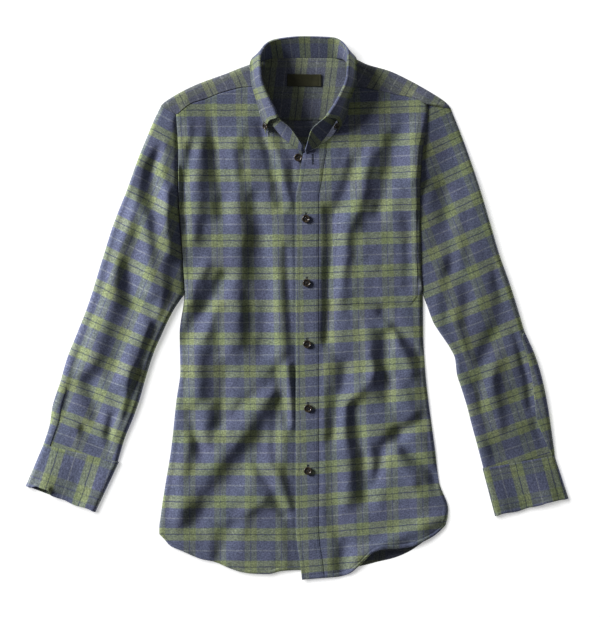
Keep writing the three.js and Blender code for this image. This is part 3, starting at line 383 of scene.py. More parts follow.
def fold_height(folds, x, y):
    height = np.zeros(np.broadcast(x, y).shape)
    for x0, y0, x1, y1, rise, width in folds:
        run_x, run_y = x1 - x0, y1 - y0
        share = np.clip(((x - x0) * run_x + (y - y0) * run_y) / (run_x ** 2 + run_y ** 2), 0, 1)
        height += rise * bell(np.hypot(x - x0 - share * run_x, y - y0 - share * run_y), 0, width)
    return height


LATTICE_SIZE = 96
LATTICE = np.random.default_rng(7).uniform(-1, 1, (LATTICE_SIZE, LATTICE_SIZE))


def noise(x, y, size_x, size_y, shift):
    """Smooth noise from -1 to 1 with its own grain size along x and y."""
    u, v = x / size_x + shift, y / size_y + shift * 1.7
    column, row = np.floor(u).astype(int), np.floor(v).astype(int)
    across, up = smooth(u - column, 0, 1), smooth(v - row, 0, 1)

    def corner(right, above):
        return LATTICE[(column + right) % LATTICE_SIZE, (row + above) % LATTICE_SIZE]
    return lerp(lerp(corner(0, 0), corner(1, 0), across), lerp(corner(0, 1), corner(1, 1), across), up)


def waves(x, y, layers):
    return sum(height * noise(x, y, *grain) for height, *grain in layers)


side_left, side_right, centre_height, side_height = (column_curve(BODY, k) for k in (1, 2, 3, 4))
closing_edge = column_curve(CLOSING)
underlap_edge = column_curve(UNDERLAP)


def body_height(x, y):
    """Height of the fronts' outer face, without the dip of the one underneath."""
    left, right = side_left(y), side_right(y)
    across = (2 * x - left - right) / (right - left)
    crown = lerp(centre_height(y), side_height(y), np.minimum(across ** 2, 1))
    side_dips = bell(x, left, SIDE_DIP_WIDTHS[0]) + bell(x, right, SIDE_DIP_WIDTHS[1])
    crown = crown - SIDE_DIP * smooth(-y, -10, 60) * side_dips
    past_band = np.abs(x - closing_edge(y) - PLACKET_WIDTH / 2) - PLACKET_WIDTH / 2
    mask = smooth(past_band, 0, FOLD_FREE_BAND) * lerp(1, SEAM_FOLD_SHARE, smooth(y, *SEAM_FOLDS_FADE))
    # The folds wander a little, so that none is a straight trough
    wander_x, wander_y = x + waves(x, y, BODY_WANDER_X), y + waves(x, y, BODY_WANDER_Y)
    fold = fold_height(BODY_FOLDS, wander_x, wander_y) + fold_height(BODY_CREASES, wander_x, wander_y)
    total = (FOLD_GAIN * fold + waves(x, y, BODY_RIPPLE)) * mask
    return crown + FOLD_LIMIT * np.tanh(total / FOLD_LIMIT)


def underlap_drop(x, y):
    """How far the front underneath dips, with a groove along the closing edge."""
    edge = closing_edge(y)
    return UNDERLAP_DROP * smooth(x, edge - 26, edge - 5) + CLOSING_GROOVE * bell(x, edge - 0.6, 2.4)


# Cloth coordinates: how far each point is across and along the check, in repeats of it
def right_check(x, y):
    tilt = lerp(0.035, 0.087, smooth(-y, -50, 130))
    across = (x + 0.6 - 0.02 * (80 - y)) / REPEAT_ACROSS
    return np.stack([across, (y - tilt * np.maximum(x, 0) - 3.4) / REPEAT_ALONG], axis=-1)


def left_check(x, y):
    middle = np.interp(-y, -LEFT_BAND[:, 0], LEFT_BAND[:, 1])
    return np.stack([(x - middle) / 46.5, (y - 3.8) / REPEAT_ALONG], axis=-1)


def repeats(x, y, degrees, centre, period, shift=0):
    """Repeats from a band's middle, in one direction."""
    turn = math.radians(degrees)
    return (x * math.cos(turn) + y * math.sin(turn) - centre) / period + shift


def straight_check(lines, bands):
    """A check that has the same two directions all over."""
    def check(x, y):
        return np.stack([repeats(x, y, *lines), repeats(x, y, *bands)], axis=-1)
    return check


def sleeve_check(bands, lines, reach):
    """A check that turns on its way down the sleeve."""
    def check(x, y):
        upper, middle, lower = (repeats(x, y, *band) for band in bands)
        above = np.clip((y - SLEEVE_MIDDLE_Y) / reach, 0, 1)
        below = np.clip((SLEEVE_MIDDLE_Y - y) / reach, 0, 1)
        first, last = (repeats(x, y, *line) for line in lines)
        share = np.clip((SLEEVE_MIDDLE_Y + reach - y) / (2 * reach), 0, 1)
        v = middle + (upper - middle) * above + (lower - middle) * below
        return np.stack([lerp(first, last, share), v], axis=-1)
    return check


def shifted_check(check):
    """A band's own cut of the check, a little out of step with the cloth under it."""
    def shifted(x, y):
        return check(x, y) + np.array(BAND_CHECK_SHIFT)
    return shifted


def yoke_check(x, y):
    """Straight behind the neck, and turned on each shoulder."""
    on_left, on_right = smooth(-x, 52, 60), smooth(x, 72, 80)
    (left_x, left_y), (right_x, right_y) = YOKE_LEFT_WAY, YOKE_RIGHT_WAY
    v = lerp(repeats(x, y, -7, 7.4, 46), (left_x * x + left_y * y - 66.9) / 45.6, on_left)
    v = lerp(v, (right_x * x - right_y * y + 67) / 48.6, on_right)
    u = lerp(y / 47, (left_x * y - left_y * x) / REPEAT_ACROSS, on_left)
    u = lerp(u, (right_y * x + right_x * y) / REPEAT_ACROSS, on_right)
    return np.stack([u, v], axis=-1)


back_check = straight_check((0, 0, 46.4, 0.3), (90, 3.8, REPEAT_ALONG))
SLEEVE_CHECKS = {"left": sleeve_check(SLEEVE_LEFT_BANDS, SLEEVE_LEFT_LINES, 144),
                 "right": sleeve_check(SLEEVE_RIGHT_BANDS, SLEEVE_RIGHT_LINES, 152)}
CUFF_CHECKS = {"left": straight_check((71, -312.4, 60), (-18, -223.4, 55.3)),
               "right": straight_check((102, -310.6, 46.6), (15, 259.4, 49.7))}
label_check = straight_check((0, LABEL_LEFT, 49.4), (90, LABEL_LOW, 49.4))


def normals_of(points, ring=False):
    """Unit normals of a grid of points, pointing to the side that is seen."""
    down = np.gradient(points, axis=0)
    if ring:
        wide = np.concatenate([points[:, -1:], points, points[:, :1]], axis=1)
        across = (wide[:, 2:] - wide[:, :-2]) / 2
    else:
        across = np.gradient(points, axis=1)
    return unit(np.cross(down, across))


def quads(rows, columns, ring=False):
    """The faces between the points of a grid."""
    ids = np.arange(rows * columns).reshape(rows, columns)
    here, beside = (ids, np.roll(ids, -1, axis=1)) if ring else (ids[:, :-1], ids[:, 1:])
    return np.stack([here[:-1], here[1:], beside[1:], beside[:-1]], axis=-1).reshape(-1, 4)


def add_object(name, vertices, faces, material):
    """A smooth mesh from points in millimetres."""
    mesh = bpy.data.meshes.new(name)
    mesh.from_pydata((np.asarray(vertices) * MM).tolist(), [], [list(map(int, face)) for face in faces])
    mesh.shade_smooth()
    obj = bpy.data.objects.new(name, mesh)
    bpy.context.scene.collection.objects.link(obj)
    obj.data.materials.append(material)
    return obj


def on_shirt(obj, slot, replaces=()):
    """A piece of the shirt and the solids that it takes the place of; its material slot is not used."""
    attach(obj, "root")
    if replaces:
        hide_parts(*replaces)
    return obj


def mesh_piece(name, vertices, faces, material, slot, replaces=()):
    """Any closed mesh in millimetres that rides on the shirt."""
    return on_shirt(add_object(name, vertices, faces, material), slot, replaces)


def evaluated(obj):
    """Replaces an object's mesh by the result of its modifiers."""
    made = bpy.data.meshes.new_from_object(obj.evaluated_get(bpy.context.evaluated_depsgraph_get()))
    old = obj.data
    obj.modifiers.clear()
    obj.data = made
    bpy.data.meshes.remove(old)


def with_check(grid, check, ring=False, up=True):
    """A patch of cloth: its points and cloth coordinates, if it is closed round, and if it faces up."""
    return grid, check(grid[..., 0], grid[..., 1]), ring, up


def cloth_piece(name, patches, thickness, material, slot, replaces):
    """A thin closed shell of cloth from patches that are welded together."""
    vertices, faces, coordinates = [], [], []
    start = 0
    for points, check, ring, up in patches:
        patch_faces = quads(*points.shape[:2], ring) + start
        faces.append(patch_faces if up else patch_faces[:, ::-1])
        vertices.append(points.reshape(-1, 3))
        coordinates.append(check.reshape(-1, 2))
        start += len(vertices[-1])
    vertices, faces, coordinates = (np.concatenate(part) for part in (vertices, faces, coordinates))
    _, first, welded = np.unique(np.round(vertices, 2), axis=0, return_index=True, return_inverse=True)
    welded = welded.reshape(-1)
    loops = [[k for n, k in enumerate(face) if welded[k] != welded[face[n - 1]]] for face in faces]
    loops = [face for face in loops if len(face) > 2]
    obj = add_object(name, vertices[first], [welded[face] for face in loops], material)
    flat = coordinates[np.array([k for face in loops for k in face])]
    layer = obj.data.uv_layers.new(name="cloth")
    layer.data.foreach_set("uv", flat.reshape(-1).astype(np.float32))
    shell = obj.modifiers.new("shell", "SOLIDIFY")
    shell.thickness = thickness * MM
    shell.offset = -1.0
    shell.use_rim = True
    shell.use_even_offset = False
    evaluated(obj)
    return on_shirt(obj, slot, replaces)


# Materials
def linear(*color):
    """A colour of the screen, from 0 to 255, as light."""
    shares = [part / 255 for part in color]
    return tuple(c / 12.92 if c <= 0.04045 else ((c + 0.055) / 1.055) ** 2.4 for c in shares) + (1.0,)


def scaled_color(color, factor):
    return tuple(min(part * factor, 1) for part in color[:3]) + (1,)


BLACK = (0, 0, 0, 1)
WHITE = (1, 1, 1, 1)
BLUE_YARN = linear(101, 108, 134)
GREEN_YARN = linear(144, 156, 116)
NAVY_YARN = linear(75, 83, 91)
PALE_YARN = linear(142, 148, 160)
WARP_BLUE = linear(100, 107, 136)
WARP_GREEN = linear(134, 146, 110)
WARP_NAVY = linear(83, 90, 103)
THREAD = linear(92, 100, 118)
DARK_THREAD = linear(52, 58, 70)
# Near-black colour of the beads that paint the shade inside the buttonhole slits
SLIT_SHADE_COLOR = (0.01, 0.011, 0.014, 1)
# Half a repeat of each way of the check, from the middle of its green band
WARP = ((0.0, WARP_NAVY), (0.02, WARP_NAVY), (0.05, WARP_GREEN), (0.35, WARP_GREEN), (0.43, WARP_BLUE),
        (1.0, WARP_BLUE))
WEFT = ((0.0, NAVY_YARN), (0.018, NAVY_YARN), (0.045, GREEN_YARN), (0.355, GREEN_YARN), (0.415, BLUE_YARN),
        (0.945, BLUE_YARN), (0.98, PALE_YARN), (1.0, PALE_YARN))
# Yarns vary in tone along their own length, and specks of fibre lie over them
MELANGE = ((0.28, (0.42, 0.42, 0.46, 1)), (0.5, (0.97, 0.97, 0.97, 1)), (0.74, (1.75, 1.73, 1.68, 1)))
MELANGE_STRETCH = ((24.0, 11.0, 1.0), (11.0, 24.0, 1.0))
SPECKS = ((0.3, 0.5), (0.5, 0.98), (0.7, 1.62))
BROAD_TONES = ((0.3, (0.94, 0.96, 0.93, 1)), (0.7, (1.08, 1.03, 1.06, 1)))
WEFT_SHARE = 0.66
TWILL_EDGE = 0.12
TWILL_LINES = 41.0
RESIN = ((0.3, (0.012, 0.010, 0.009, 1)), (0.48, (0.035, 0.026, 0.018, 1)), (0.6, (0.08, 0.06, 0.038, 1)),
         (0.72, (0.17, 0.135, 0.09, 1)))
SATIN = ((0.2, (0.020, 0.021, 0.008, 1)), (0.5, (0.042, 0.041, 0.013, 1)), (0.85, (0.085, 0.08, 0.028, 1)))
PAPER = ((0.0, (0.93, 0.93, 0.93, 1)), (1.0, (0.95, 0.95, 0.95, 1)))


class Nodes:
    """Small helper that adds shader nodes and links their inputs."""

    def __init__(self, name):
        self.material = bpy.data.materials.new(name)
        self.material.use_nodes = True
        self.tree = self.material.node_tree
        self.shader = self.tree.nodes["Principled BSDF"]

    def add(self, kind, inputs, **settings):
        node = self.tree.nodes.new(kind)
        for key, value in settings.items():
            setattr(node, key, value)
        for key, value in inputs.items():
            self.set(node.inputs[key], value)
        return node

    def set(self, socket, value):
        if isinstance(value, bpy.types.NodeSocket):
            self.tree.links.new(value, socket)
        else:
            socket.default_value = value

    def math(self, operation, *values):
        return self.add("ShaderNodeMath", dict(enumerate(values)), operation=operation).outputs[0]

    def vector(self, operation, first, second):
        inputs = {0: first, "Scale" if operation == "SCALE" else 1: second}
        return self.add("ShaderNodeVectorMath", inputs, operation=operation).outputs[0]

    def mix(self, share, first, second, blend="MIX"):
        inputs = {0: share, 6: first, 7: second}
        return self.add("ShaderNodeMix", inputs, data_type="RGBA", blend_type=blend).outputs[2]

    def ramp(self, share, stops):
        node = self.add("ShaderNodeValToRGB", {0: share})
        elements = node.color_ramp.elements
        while len(elements) < len(stops):
            elements.new(0.5)
        for element, (position, color) in zip(elements, stops):
            element.position = position
            element.color = color
        return node.outputs[0]

    def noise(self, vector, scale, detail=2.0, roughness=0.5, output="Fac"):
        inputs = {"Vector": vector, "Scale": scale, "Detail": detail, "Roughness": roughness}
        return self.add("ShaderNodeTexNoise", inputs).outputs[output]

    def split(self, vector):
        return self.add("ShaderNodeSeparateXYZ", {0: vector}).outputs

    def cloth_place(self):
        return self.add("ShaderNodeUVMap", {}, uv_map="cloth").outputs[0]

    def object_place(self):
        return self.add("ShaderNodeTexCoord", {}).outputs["Object"]

    def bump(self, height, strength, distance):
        inputs = {"Height": height, "Strength": strength, "Distance": distance}
        return self.add("ShaderNodeBump", inputs).outputs[0]

    def surface(self, **values):
        for name, value in values.items():
            self.set(self.shader.inputs[name.replace("_", " ")], value)
        return self.material


def check_cloth(name, value=1.0, colourful=1.0):
    """Brushed twill flannel in a check, drawn from the cloth coordinates. A value below 1 darkens all of it
    as painted shade.
    """
    n = Nodes(name)
    flat = n.cloth_place()
    drift = n.vector("SUBTRACT", n.noise(flat, 2.2, 1.0, output="Color"), (0.5, 0.5, 0.5))
    across, upwards = n.split(n.vector("ADD", flat, n.vector("SCALE", drift, 0.035)))[:2]
    yarns = []
    for way, bands, stretch in zip((across, upwards), (WARP, WEFT), MELANGE_STRETCH):
        part = n.math("SUBTRACT", n.math("FRACT", n.math("ADD", way, 0.5)), 0.5)
        yarn = n.ramp(n.math("MULTIPLY", n.math("ABSOLUTE", part), 2.0), bands)
        tone = n.ramp(n.noise(n.vector("MULTIPLY", flat, stretch), 1.0, 3.0, 0.75), MELANGE)
        yarns.append(n.mix(1.0, yarn, tone, "MULTIPLY"))
    # Diagonal twill lines, where weft or warp lies on top
    line = n.math("FRACT", n.math("MULTIPLY", n.math("ADD", across, upwards), TWILL_LINES))
    edge = 1 - WEFT_SHARE
    twill = ((0.0, BLACK), (edge - TWILL_EDGE, BLACK), (edge + TWILL_EDGE, WHITE), (1.0, WHITE))
    cloth = n.mix(0.45, n.mix(n.ramp(line, twill), *yarns), n.mix(WEFT_SHARE, *yarns))
    fuzz = n.noise(flat, 21.0, 4.0, 0.85)
    # The specks carry the value, so a value below 1 paints shade over the whole cloth
    specks = [(place, (tone * value,) * 3 + (1,)) for place, tone in SPECKS]
    cloth = n.mix(1.0, cloth, n.ramp(fuzz, specks), "MULTIPLY")
    cloth = n.mix(1.0, cloth, n.ramp(n.noise(flat, 1.3), BROAD_TONES), "MULTIPLY")
    cloth = n.add("ShaderNodeHueSaturation", {"Color": cloth, "Saturation": colourful}).outputs[0]
    ridges = n.math("MULTIPLY", n.math("PINGPONG", line, 0.5), 0.5)
    height = n.math("ADD", ridges, n.math("MULTIPLY", fuzz, 0.9))
    return n.surface(Base_Color=cloth, Roughness=0.92, Normal=n.bump(height, 0.35, 0.0004),
                     Specular_IOR_Level=0.18, Sheen_Weight=0.12, Sheen_Roughness=0.55)


def thread_material(name, color):
    """Matt twisted thread."""
    n = Nodes(name)
    tones = ((0.35, scaled_color(color, 0.7)), (0.65, scaled_color(color, 1.3)))
    return n.surface(Base_Color=n.ramp(n.noise(n.object_place(), 2600.0), tones), Roughness=0.8,
                     Specular_IOR_Level=0.25)


def tortoise_material():
    """Dark resin with brown and amber clouds under a polished face."""
    n = Nodes("tortoise_resin")
    place = n.object_place()
    bend = n.vector("SCALE", n.noise(place, 160.0, output="Color"), 0.006)
    cloud = n.noise(n.vector("ADD", place, bend), 330.0, 3.0, 0.6)
    return n.surface(Base_Color=n.ramp(cloud, RESIN), Roughness=0.28, Coat_Weight=0.6, Coat_Roughness=0.12)


def label_material():
    """Bare satin tape with fine ribs and slanting floats."""
    n = Nodes("label_satin")
    flat = n.cloth_place()
    across, upwards = n.split(flat)[:2]
    ribs = n.math("PINGPONG", n.math("MULTIPLY", upwards, 90.0), 0.5)
    slant = n.math("ADD", across, n.math("MULTIPLY", upwards, 0.4))
    floats = n.math("PINGPONG", n.math("MULTIPLY", slant, 130.0), 0.5)
    weave = n.math("ADD", n.math("MULTIPLY", ribs, 0.7), n.math("MULTIPLY", floats, 0.5))
    worn = n.math("MULTIPLY", n.noise(flat, 6.0, 4.0, 0.6), 0.6)
    tone = n.math("ADD", n.math("MULTIPLY", weave, 0.5), worn)
    return n.surface(Base_Color=n.ramp(tone, SATIN), Roughness=0.5, Normal=n.bump(weave, 0.4, 0.0002),
                     Sheen_Weight=0.15)


def paper_material():
    n = Nodes("white_paper")
    return n.surface(Base_Color=n.ramp(n.noise(n.object_place(), 400.0), PAPER), Roughness=1.0,
                     Specular_IOR_Level=0.0, Emission_Color=WHITE, Emission_Strength=0.38)


thread = thread_material("seam_thread", THREAD)
dark_thread = thread_material("buttonhole_thread", DARK_THREAD)
# Material of the painted shade in the buttonhole slits
slit_shade_material = thread_material("slit_shadow", SLIT_SHADE_COLOR)
tortoise = tortoise_material()
label_cloth = label_material()
front_cloth = check_cloth("flannel_front_check")
sleeve_cloth = check_cloth("flannel_sleeve_check")
# The back and yoke cloth is a greyer copy whose value of 0.92 paints shade for the inside of the neck
back_cloth = check_cloth("flannel_back_check", value=0.92, colourful=0.75)
trim_cloth = check_cloth("flannel_trim_check")
collar_cloth = check_cloth("flannel_collar_check")


# Fronts
def front_rows(top_at, hem_at, shares):
    """The y of each row and column, and each point's distance from the hem."""
    hem, level = hem_at(shares), np.ones_like(shares)
    rows = [lerp(top_at(shares), UPPER_ROW_Y, t) for t in np.linspace(0, 1, TOP_ROWS)]
    rows += [y * level for y in np.linspace(UPPER_ROW_Y, LOWER_ROW_Y, LEVEL_ROWS)[1:]]
    rows += [lerp(LOWER_ROW_Y, hem + HEM_FIRST_GAP, t) for t in np.linspace(0, 1, HEM_ROWS)[1:]]
    rows += [hem + gap for gap in HEM_ROW_GAPS]
    return np.array(rows), np.array(rows) - hem


def seam_curve(rows, centre, side):
    """The y of a seam or hem over the share of the way from the centre to the side."""
    share = (rows[:, 0] - centre(rows[:, 1])) / (side(rows[:, 1]) - centre(rows[:, 1]))
    return curve(share, rows[:, 1])


def hem_relief(x, gap):
    """The double turned hem with its stitched valley and small puckers."""
    relief = 0.55 * fade(gap, 5.7, 6.5) - 0.5 * bell(gap, HEM_STITCH, 0.7) - 0.8 * fade(gap, 0, 1.5)
    return relief + waves(x, gap, HEM_PUCKER) * bell(gap, 5.0, 4.0)


def inner_side(side):
    """Where a front starts to roll down at its side."""
    def read(y):
        return side(y) - np.sign(side(0.0)) * EDGE_ROLL
    return read


def front_surface(top, hem, centre, side, columns, drop):
    """A front from its closing edge to its side, with the roll down to the floor or the armhole."""
    outwards = np.sign(side(0.0))
    shares = np.linspace(0, 1, columns)
    inner = inner_side(side)
    top_at, hem_at = seam_curve(top, centre, inner), seam_curve(hem, centre, inner)
    y, gap = front_rows(top_at, hem_at, shares)
    x = lerp(centre(y), inner(y), shares)
    z = body_height(x, y) - drop(x, y) + hem_relief(x, gap)
    grid = np.stack([x, y, z], axis=-1)
    edge = grid[:, -1]
    open_arm = smooth(edge[:, 1], UNDERARM_Y - 8, UNDERARM_Y + 10)
    reach = lerp(math.pi / 2, ARMHOLE_TURN, open_arm)
    width = EDGE_ROLL - EDGE_FALL * np.cos(reach)
    fall = edge[:, 2] - lerp(0.8, ARMHOLE_HEIGHT, open_arm) - EDGE_FALL * np.sin(reach)
    near_top = np.clip((edge[:, 1] - UPPER_ROW_Y) / (top_at(1.0) - UPPER_ROW_Y), 0, 1)
    near_hem = np.clip((LOWER_ROW_Y - edge[:, 1]) / (LOWER_ROW_Y - hem_at(1.0)), 0, 1)
    rise = (top[-1, 1] - top_at(1.0)) * near_top + 8 * near_hem
    lines = []
    for k in np.linspace(0, 1, 9)[1:]:
        out = width * np.sin(k * reach) / np.sin(reach)
        down = fall * (1 - np.cos(k * reach)) / (1 - np.cos(reach))
        lines.append(edge + np.stack([outwards * out, rise * out / EDGE_ROLL, -down], axis=-1))
    tail = np.stack([outwards * np.cos(reach), np.zeros_like(reach), -np.sin(reach)], axis=-1)
    lines += [lines[-1] + tail * EDGE_FALL * k for k in (0.5, 1.0)]
    return np.concatenate([grid, np.stack(lines, axis=1)], axis=1)


def no_drop(x, y):
    return 0 * x


left_grid = front_surface(TOP_LEFT, HEM_LEFT, underlap_edge, side_left, LEFT_COLUMNS, underlap_drop)
right_grid = front_surface(TOP_RIGHT, HEM_RIGHT, closing_edge, side_right, RIGHT_COLUMNS, no_drop)
front_left = cloth_piece("front_left_cloth", [with_check(left_grid, left_check, up=False)], CLOTH,
                         front_cloth, "flannel_front", ["front_left"])
front_right = cloth_piece("front_right_cloth", [with_check(right_grid, right_check)], CLOTH,
                          front_cloth, "flannel_front", ["front_right"])

# Placket and pocket, sewn on the right front. Their columns crowd together at the stitching.
PLACKET_COLUMNS = np.array([0, 0.5, 1.5, 3, 4.5, 5.4, 6, 6.6, 8, 11, 14, 17, 20, 23, 26, 27.4, 28, 28.6,
                            30, 31.5, 33, 33.6, 34])
POCKET_LEVELS = np.concatenate([[150.7, 150.2, 149, 147, 145.5, 144.9, 144.3], np.linspace(142, 12.5, 56),
                                [11.6, 11, 10.4, 9, 7.5, 6, 5.4, 5]])
POCKET_COLUMNS = np.concatenate([[0, 0.004, 0.015, 0.03, 0.042, 0.047, 0.052], np.linspace(0.07, 0.93, 48),
                                 [0.948, 0.953, 0.958, 0.97, 0.985, 0.996, 1]])


def placket_surface():
    """The band on the closing edge, raised a little and thinner towards both of its edges."""
    inner = inner_side(side_right)
    top_at, hem_at = seam_curve(TOP_RIGHT, closing_edge, inner), seam_curve(HEM_RIGHT, closing_edge, inner)
    y, gap = front_rows(top_at, hem_at, PLACKET_COLUMNS / FRONT_WIDTH)
    x = closing_edge(y) + PLACKET_COLUMNS
    from_seam = PLACKET_WIDTH - PLACKET_COLUMNS
    edge = np.minimum(PLACKET_COLUMNS, from_seam)
    band = 0.1 - 0.15 * bell(edge, STITCH_INSET, STITCH_WIDTH)
    band = band - 0.6 * fade(from_seam, 0, 4) - 0.3 * fade(PLACKET_COLUMNS, 0, 1.5)
    pucker = waves(y, x, PLACKET_PUCKER) * smooth(edge, 0, 5)
    z = body_height(x, y) + PLACKET_LIFT + band + pucker + 0.6 * hem_relief(x, gap)
    return np.stack([x, y, z], axis=-1)


def pocket_surface():
    """The patch pocket with its clipped lower corners, top hem and stitched edges."""
    y = np.repeat(POCKET_LEVELS[:, None], len(POCKET_COLUMNS), axis=1)
    clipped = np.maximum(18 - y, 0)
    left = lerp(58, 46, (148 - y) / 135) + 0.95 * clipped
    right = np.interp(-y, [-150, 0], [181, 183.5]) - 0.85 * clipped
    x = lerp(left, right, POCKET_COLUMNS)
    edge = np.minimum(np.minimum(x - left, right - x), y - POCKET_BOTTOM)
    top = POCKET_TOP - y
    band = -0.14 * bell(edge, STITCH_INSET, STITCH_WIDTH) * smooth(top, 5, 7) - 0.75 * fade(edge, 0, 3.4)
    hem = 0.3 * fade(top, POCKET_HEM, POCKET_HEM + 2) - 0.35 * bell(top, POCKET_HEM, STITCH_WIDTH)
    hem = hem - 0.6 * fade(top, 0, 1.2)
    pucker = waves(x, y, POCKET_PUCKER) * smooth(edge, 0, 8)
    return np.stack([x, y, body_height(x, y) + POCKET_LIFT + band + hem + pucker], axis=-1)


placket_grid, pocket_grid = placket_surface(), pocket_surface()
placket = cloth_piece("front_placket_cloth", [with_check(placket_grid, right_check)], BAND_CLOTH,
                      trim_cloth, "flannel_trim", ["front_placket"])
pocket = cloth_piece("pocket_cloth", [with_check(pocket_grid, right_check)], BAND_CLOTH,
                     trim_cloth, "flannel_trim", ["pocket"])


# Back and yoke
def back_surface():
    """The back panel on the floor, a little inside the fronts' sides."""
    hem_at = column_curve(HEM_BACK)
    shares = np.linspace(0, 1, BACK_COLUMNS)
    rows = [(level, 0) for level in np.linspace(BACK_SEAM_Y - 0.2, BACK_LOW_Y, BACK_ROWS)]
    rows += [(BACK_LOW_Y, to_hem) for to_hem in np.linspace(0, 1, BACK_HEM_ROWS)[1:]]
    lines = []
    for level, to_hem in rows:
        y = np.full_like(shares, level)
        inset = lerp(2.6, 0.15, smooth(y, 18, 30)) + 1.5 * smooth(-y, 300, 330)
        x = lerp(side_left(y) + inset, side_right(y) - inset, shares)
        y = lerp(y, np.minimum(hem_at(x), LOWER_ROW_Y), to_hem)
        lines.append(np.stack([x, y, BACK_HEIGHT + waves(x, y, BACK_WAVES)], axis=-1))
    return np.array(lines)


back_grid = back_surface()
back = cloth_piece("back_cloth", [with_check(back_grid, back_check)], BACK_CLOTH, back_cloth,
                   "flannel_back", ["back"])


def yoke_height(x, y, waviness):
    """The plate behind the neck, which laps over the back at its seam and rises under the collar."""
    near_neck = smooth(y, *LEAF_LIFT_Y)
    lifted = LEAF_LIFT * near_neck * smooth(x, -80, -58) * fade(x, 74, 96)
    lap = 0.7 * fade(y, BACK_SEAM_Y, BACK_SEAM_Y + 7) - 0.5 * bell(y, BACK_SEAM_Y + 3.5, 1.2)
    wavy = waves(x, y, YOKE_WAVES) * (1 - near_neck * fade(np.abs(x - 8), 40, 60))
    return lifted + BACK_HEIGHT + lap + wavy * waviness


def shoulder_patch(rows):
    """Plate and shoulder fold of one side: columns from the armhole to the neck."""
    steps = np.linspace(0, len(rows) - 1, 62)
    fold_x, fold_y, seam_x, seam_y = (read(steps) for read in stations(rows))
    fold, seam = np.stack([fold_x, fold_y], axis=-1), np.stack([seam_x, seam_y], axis=-1)
    inward = unit(seam - fold)
    inset = fold + inward * SHOULDER_ROLL
    is_left = rows[0, 0] < 0
    end_x = side_left(BACK_SEAM_Y) + 0.2 if is_left else side_right(BACK_SEAM_Y) - 0.2
    neck_x = NECK_BACK[0, 0] if is_left else NECK_BACK[-1, 0]
    share = (fold_x - rows[0, 0]) / (rows[-1, 0] - rows[0, 0])
    start = np.stack([lerp(end_x, neck_x, share), np.full_like(share, BACK_SEAM_Y - YOKE_LAP)], axis=-1)
    lines = []
    for k in np.linspace(0, 1, YOKE_ROWS):
        at = lerp(start, inset, k)
        lines.append(np.column_stack([at, yoke_height(at[:, 0], at[:, 1], 1 - k)]))
    at_arm = fade(steps, 0, 0.6)
    bottom = lines[-1][:, 2]
    top = lerp(body_height(inset[:, 0], inset[:, 1]), ARMHOLE_HEIGHT, at_arm)
    for k in np.linspace(0, 1, 15)[1:]:
        turn = -math.pi / 2 + k * math.pi
        at = inset - inward * SHOULDER_ROLL * math.cos(turn)
        lines.append(np.column_stack([at, (bottom + top) / 2 + (top - bottom) / 2 * math.sin(turn)]))
    for k in (0.15, 0.3, 0.45, 0.6, 0.75, 0.86, 0.94, 1.0, SEAM_OVERLAP):
        at = lerp(inset, seam, k)
        z = lerp(body_height(at[:, 0], at[:, 1]), ARMHOLE_HEIGHT, at_arm)
        reach = (SEAM_OVERLAP - k) * np.linalg.norm(seam - inset, axis=1)
        z = z + 0.25 - 0.25 * bell(reach, 3.0, 1.4) - 0.2 * fade(reach, 0, 1)
        lines.append(np.column_stack([at, z]))
    return np.stack(lines, axis=0)


yoke_left, yoke_right = shoulder_patch(SHOULDER_LEFT), shoulder_patch(SHOULDER_RIGHT)


def neck_patch():
    """The plate behind the neck, between both shoulders' innermost columns."""
    edge = column_curve(NECK_BACK)
    columns = [yoke_left[:YOKE_ROWS, -1]]
    for x in np.linspace(*YOKE_NECK_X, 48)[1:-1]:
        y = lerp(BACK_SEAM_Y - YOKE_LAP, float(edge(x)), np.linspace(0, 1, YOKE_ROWS))
        columns.append(np.stack([np.full_like(y, x), y, yoke_height(x + 0 * y, y, 1.0)], axis=-1))
    columns.append(yoke_right[:YOKE_ROWS, -1])
    return np.stack(columns, axis=1)


yoke_neck = neck_patch()
yoke_patches = [with_check(yoke_left, yoke_check, up=False), with_check(yoke_right, yoke_check),
                with_check(yoke_neck, yoke_check, up=False)]
yoke = cloth_piece("yoke_cloth", yoke_patches, BACK_CLOTH, back_cloth, "flannel_back", ["yoke"])

# Sleeves and cuffs
RING_TOP = np.linspace(0, 1, 62)
RING_TURN = np.linspace(-1, 1, 13)[1:-1]
RING_BOTTOM = np.linspace(1, 0, 34)
CUFF_STEPS = np.concatenate([[0, 0.01, 0.03, 0.06, 0.08, 0.1], np.linspace(0.12, 0.88, 34),
                             [0.9, 0.92, 0.94, 0.97, 0.99, 1.0]])


def seam_points(shoulder, side, on_top):
    """The armhole seam from the shoulder to the underarm, and each point's share of the way."""
    corner = (shoulder[0, 2], shoulder[0, 3]) if on_top else (float(side(BACK_SEAM_Y)), BACK_SEAM_Y)
    points = [(shoulder[0, 0], shoulder[0, 1]), corner]
    points += [(float(side(y)), y) for y in np.linspace(282, UNDERARM_Y, 60)]
    points = np.array(points, float)
    points[:, 0] += np.sign(shoulder[0, 0]) * 0.25
    run = run_along(points)
    return points, run / run[-1]


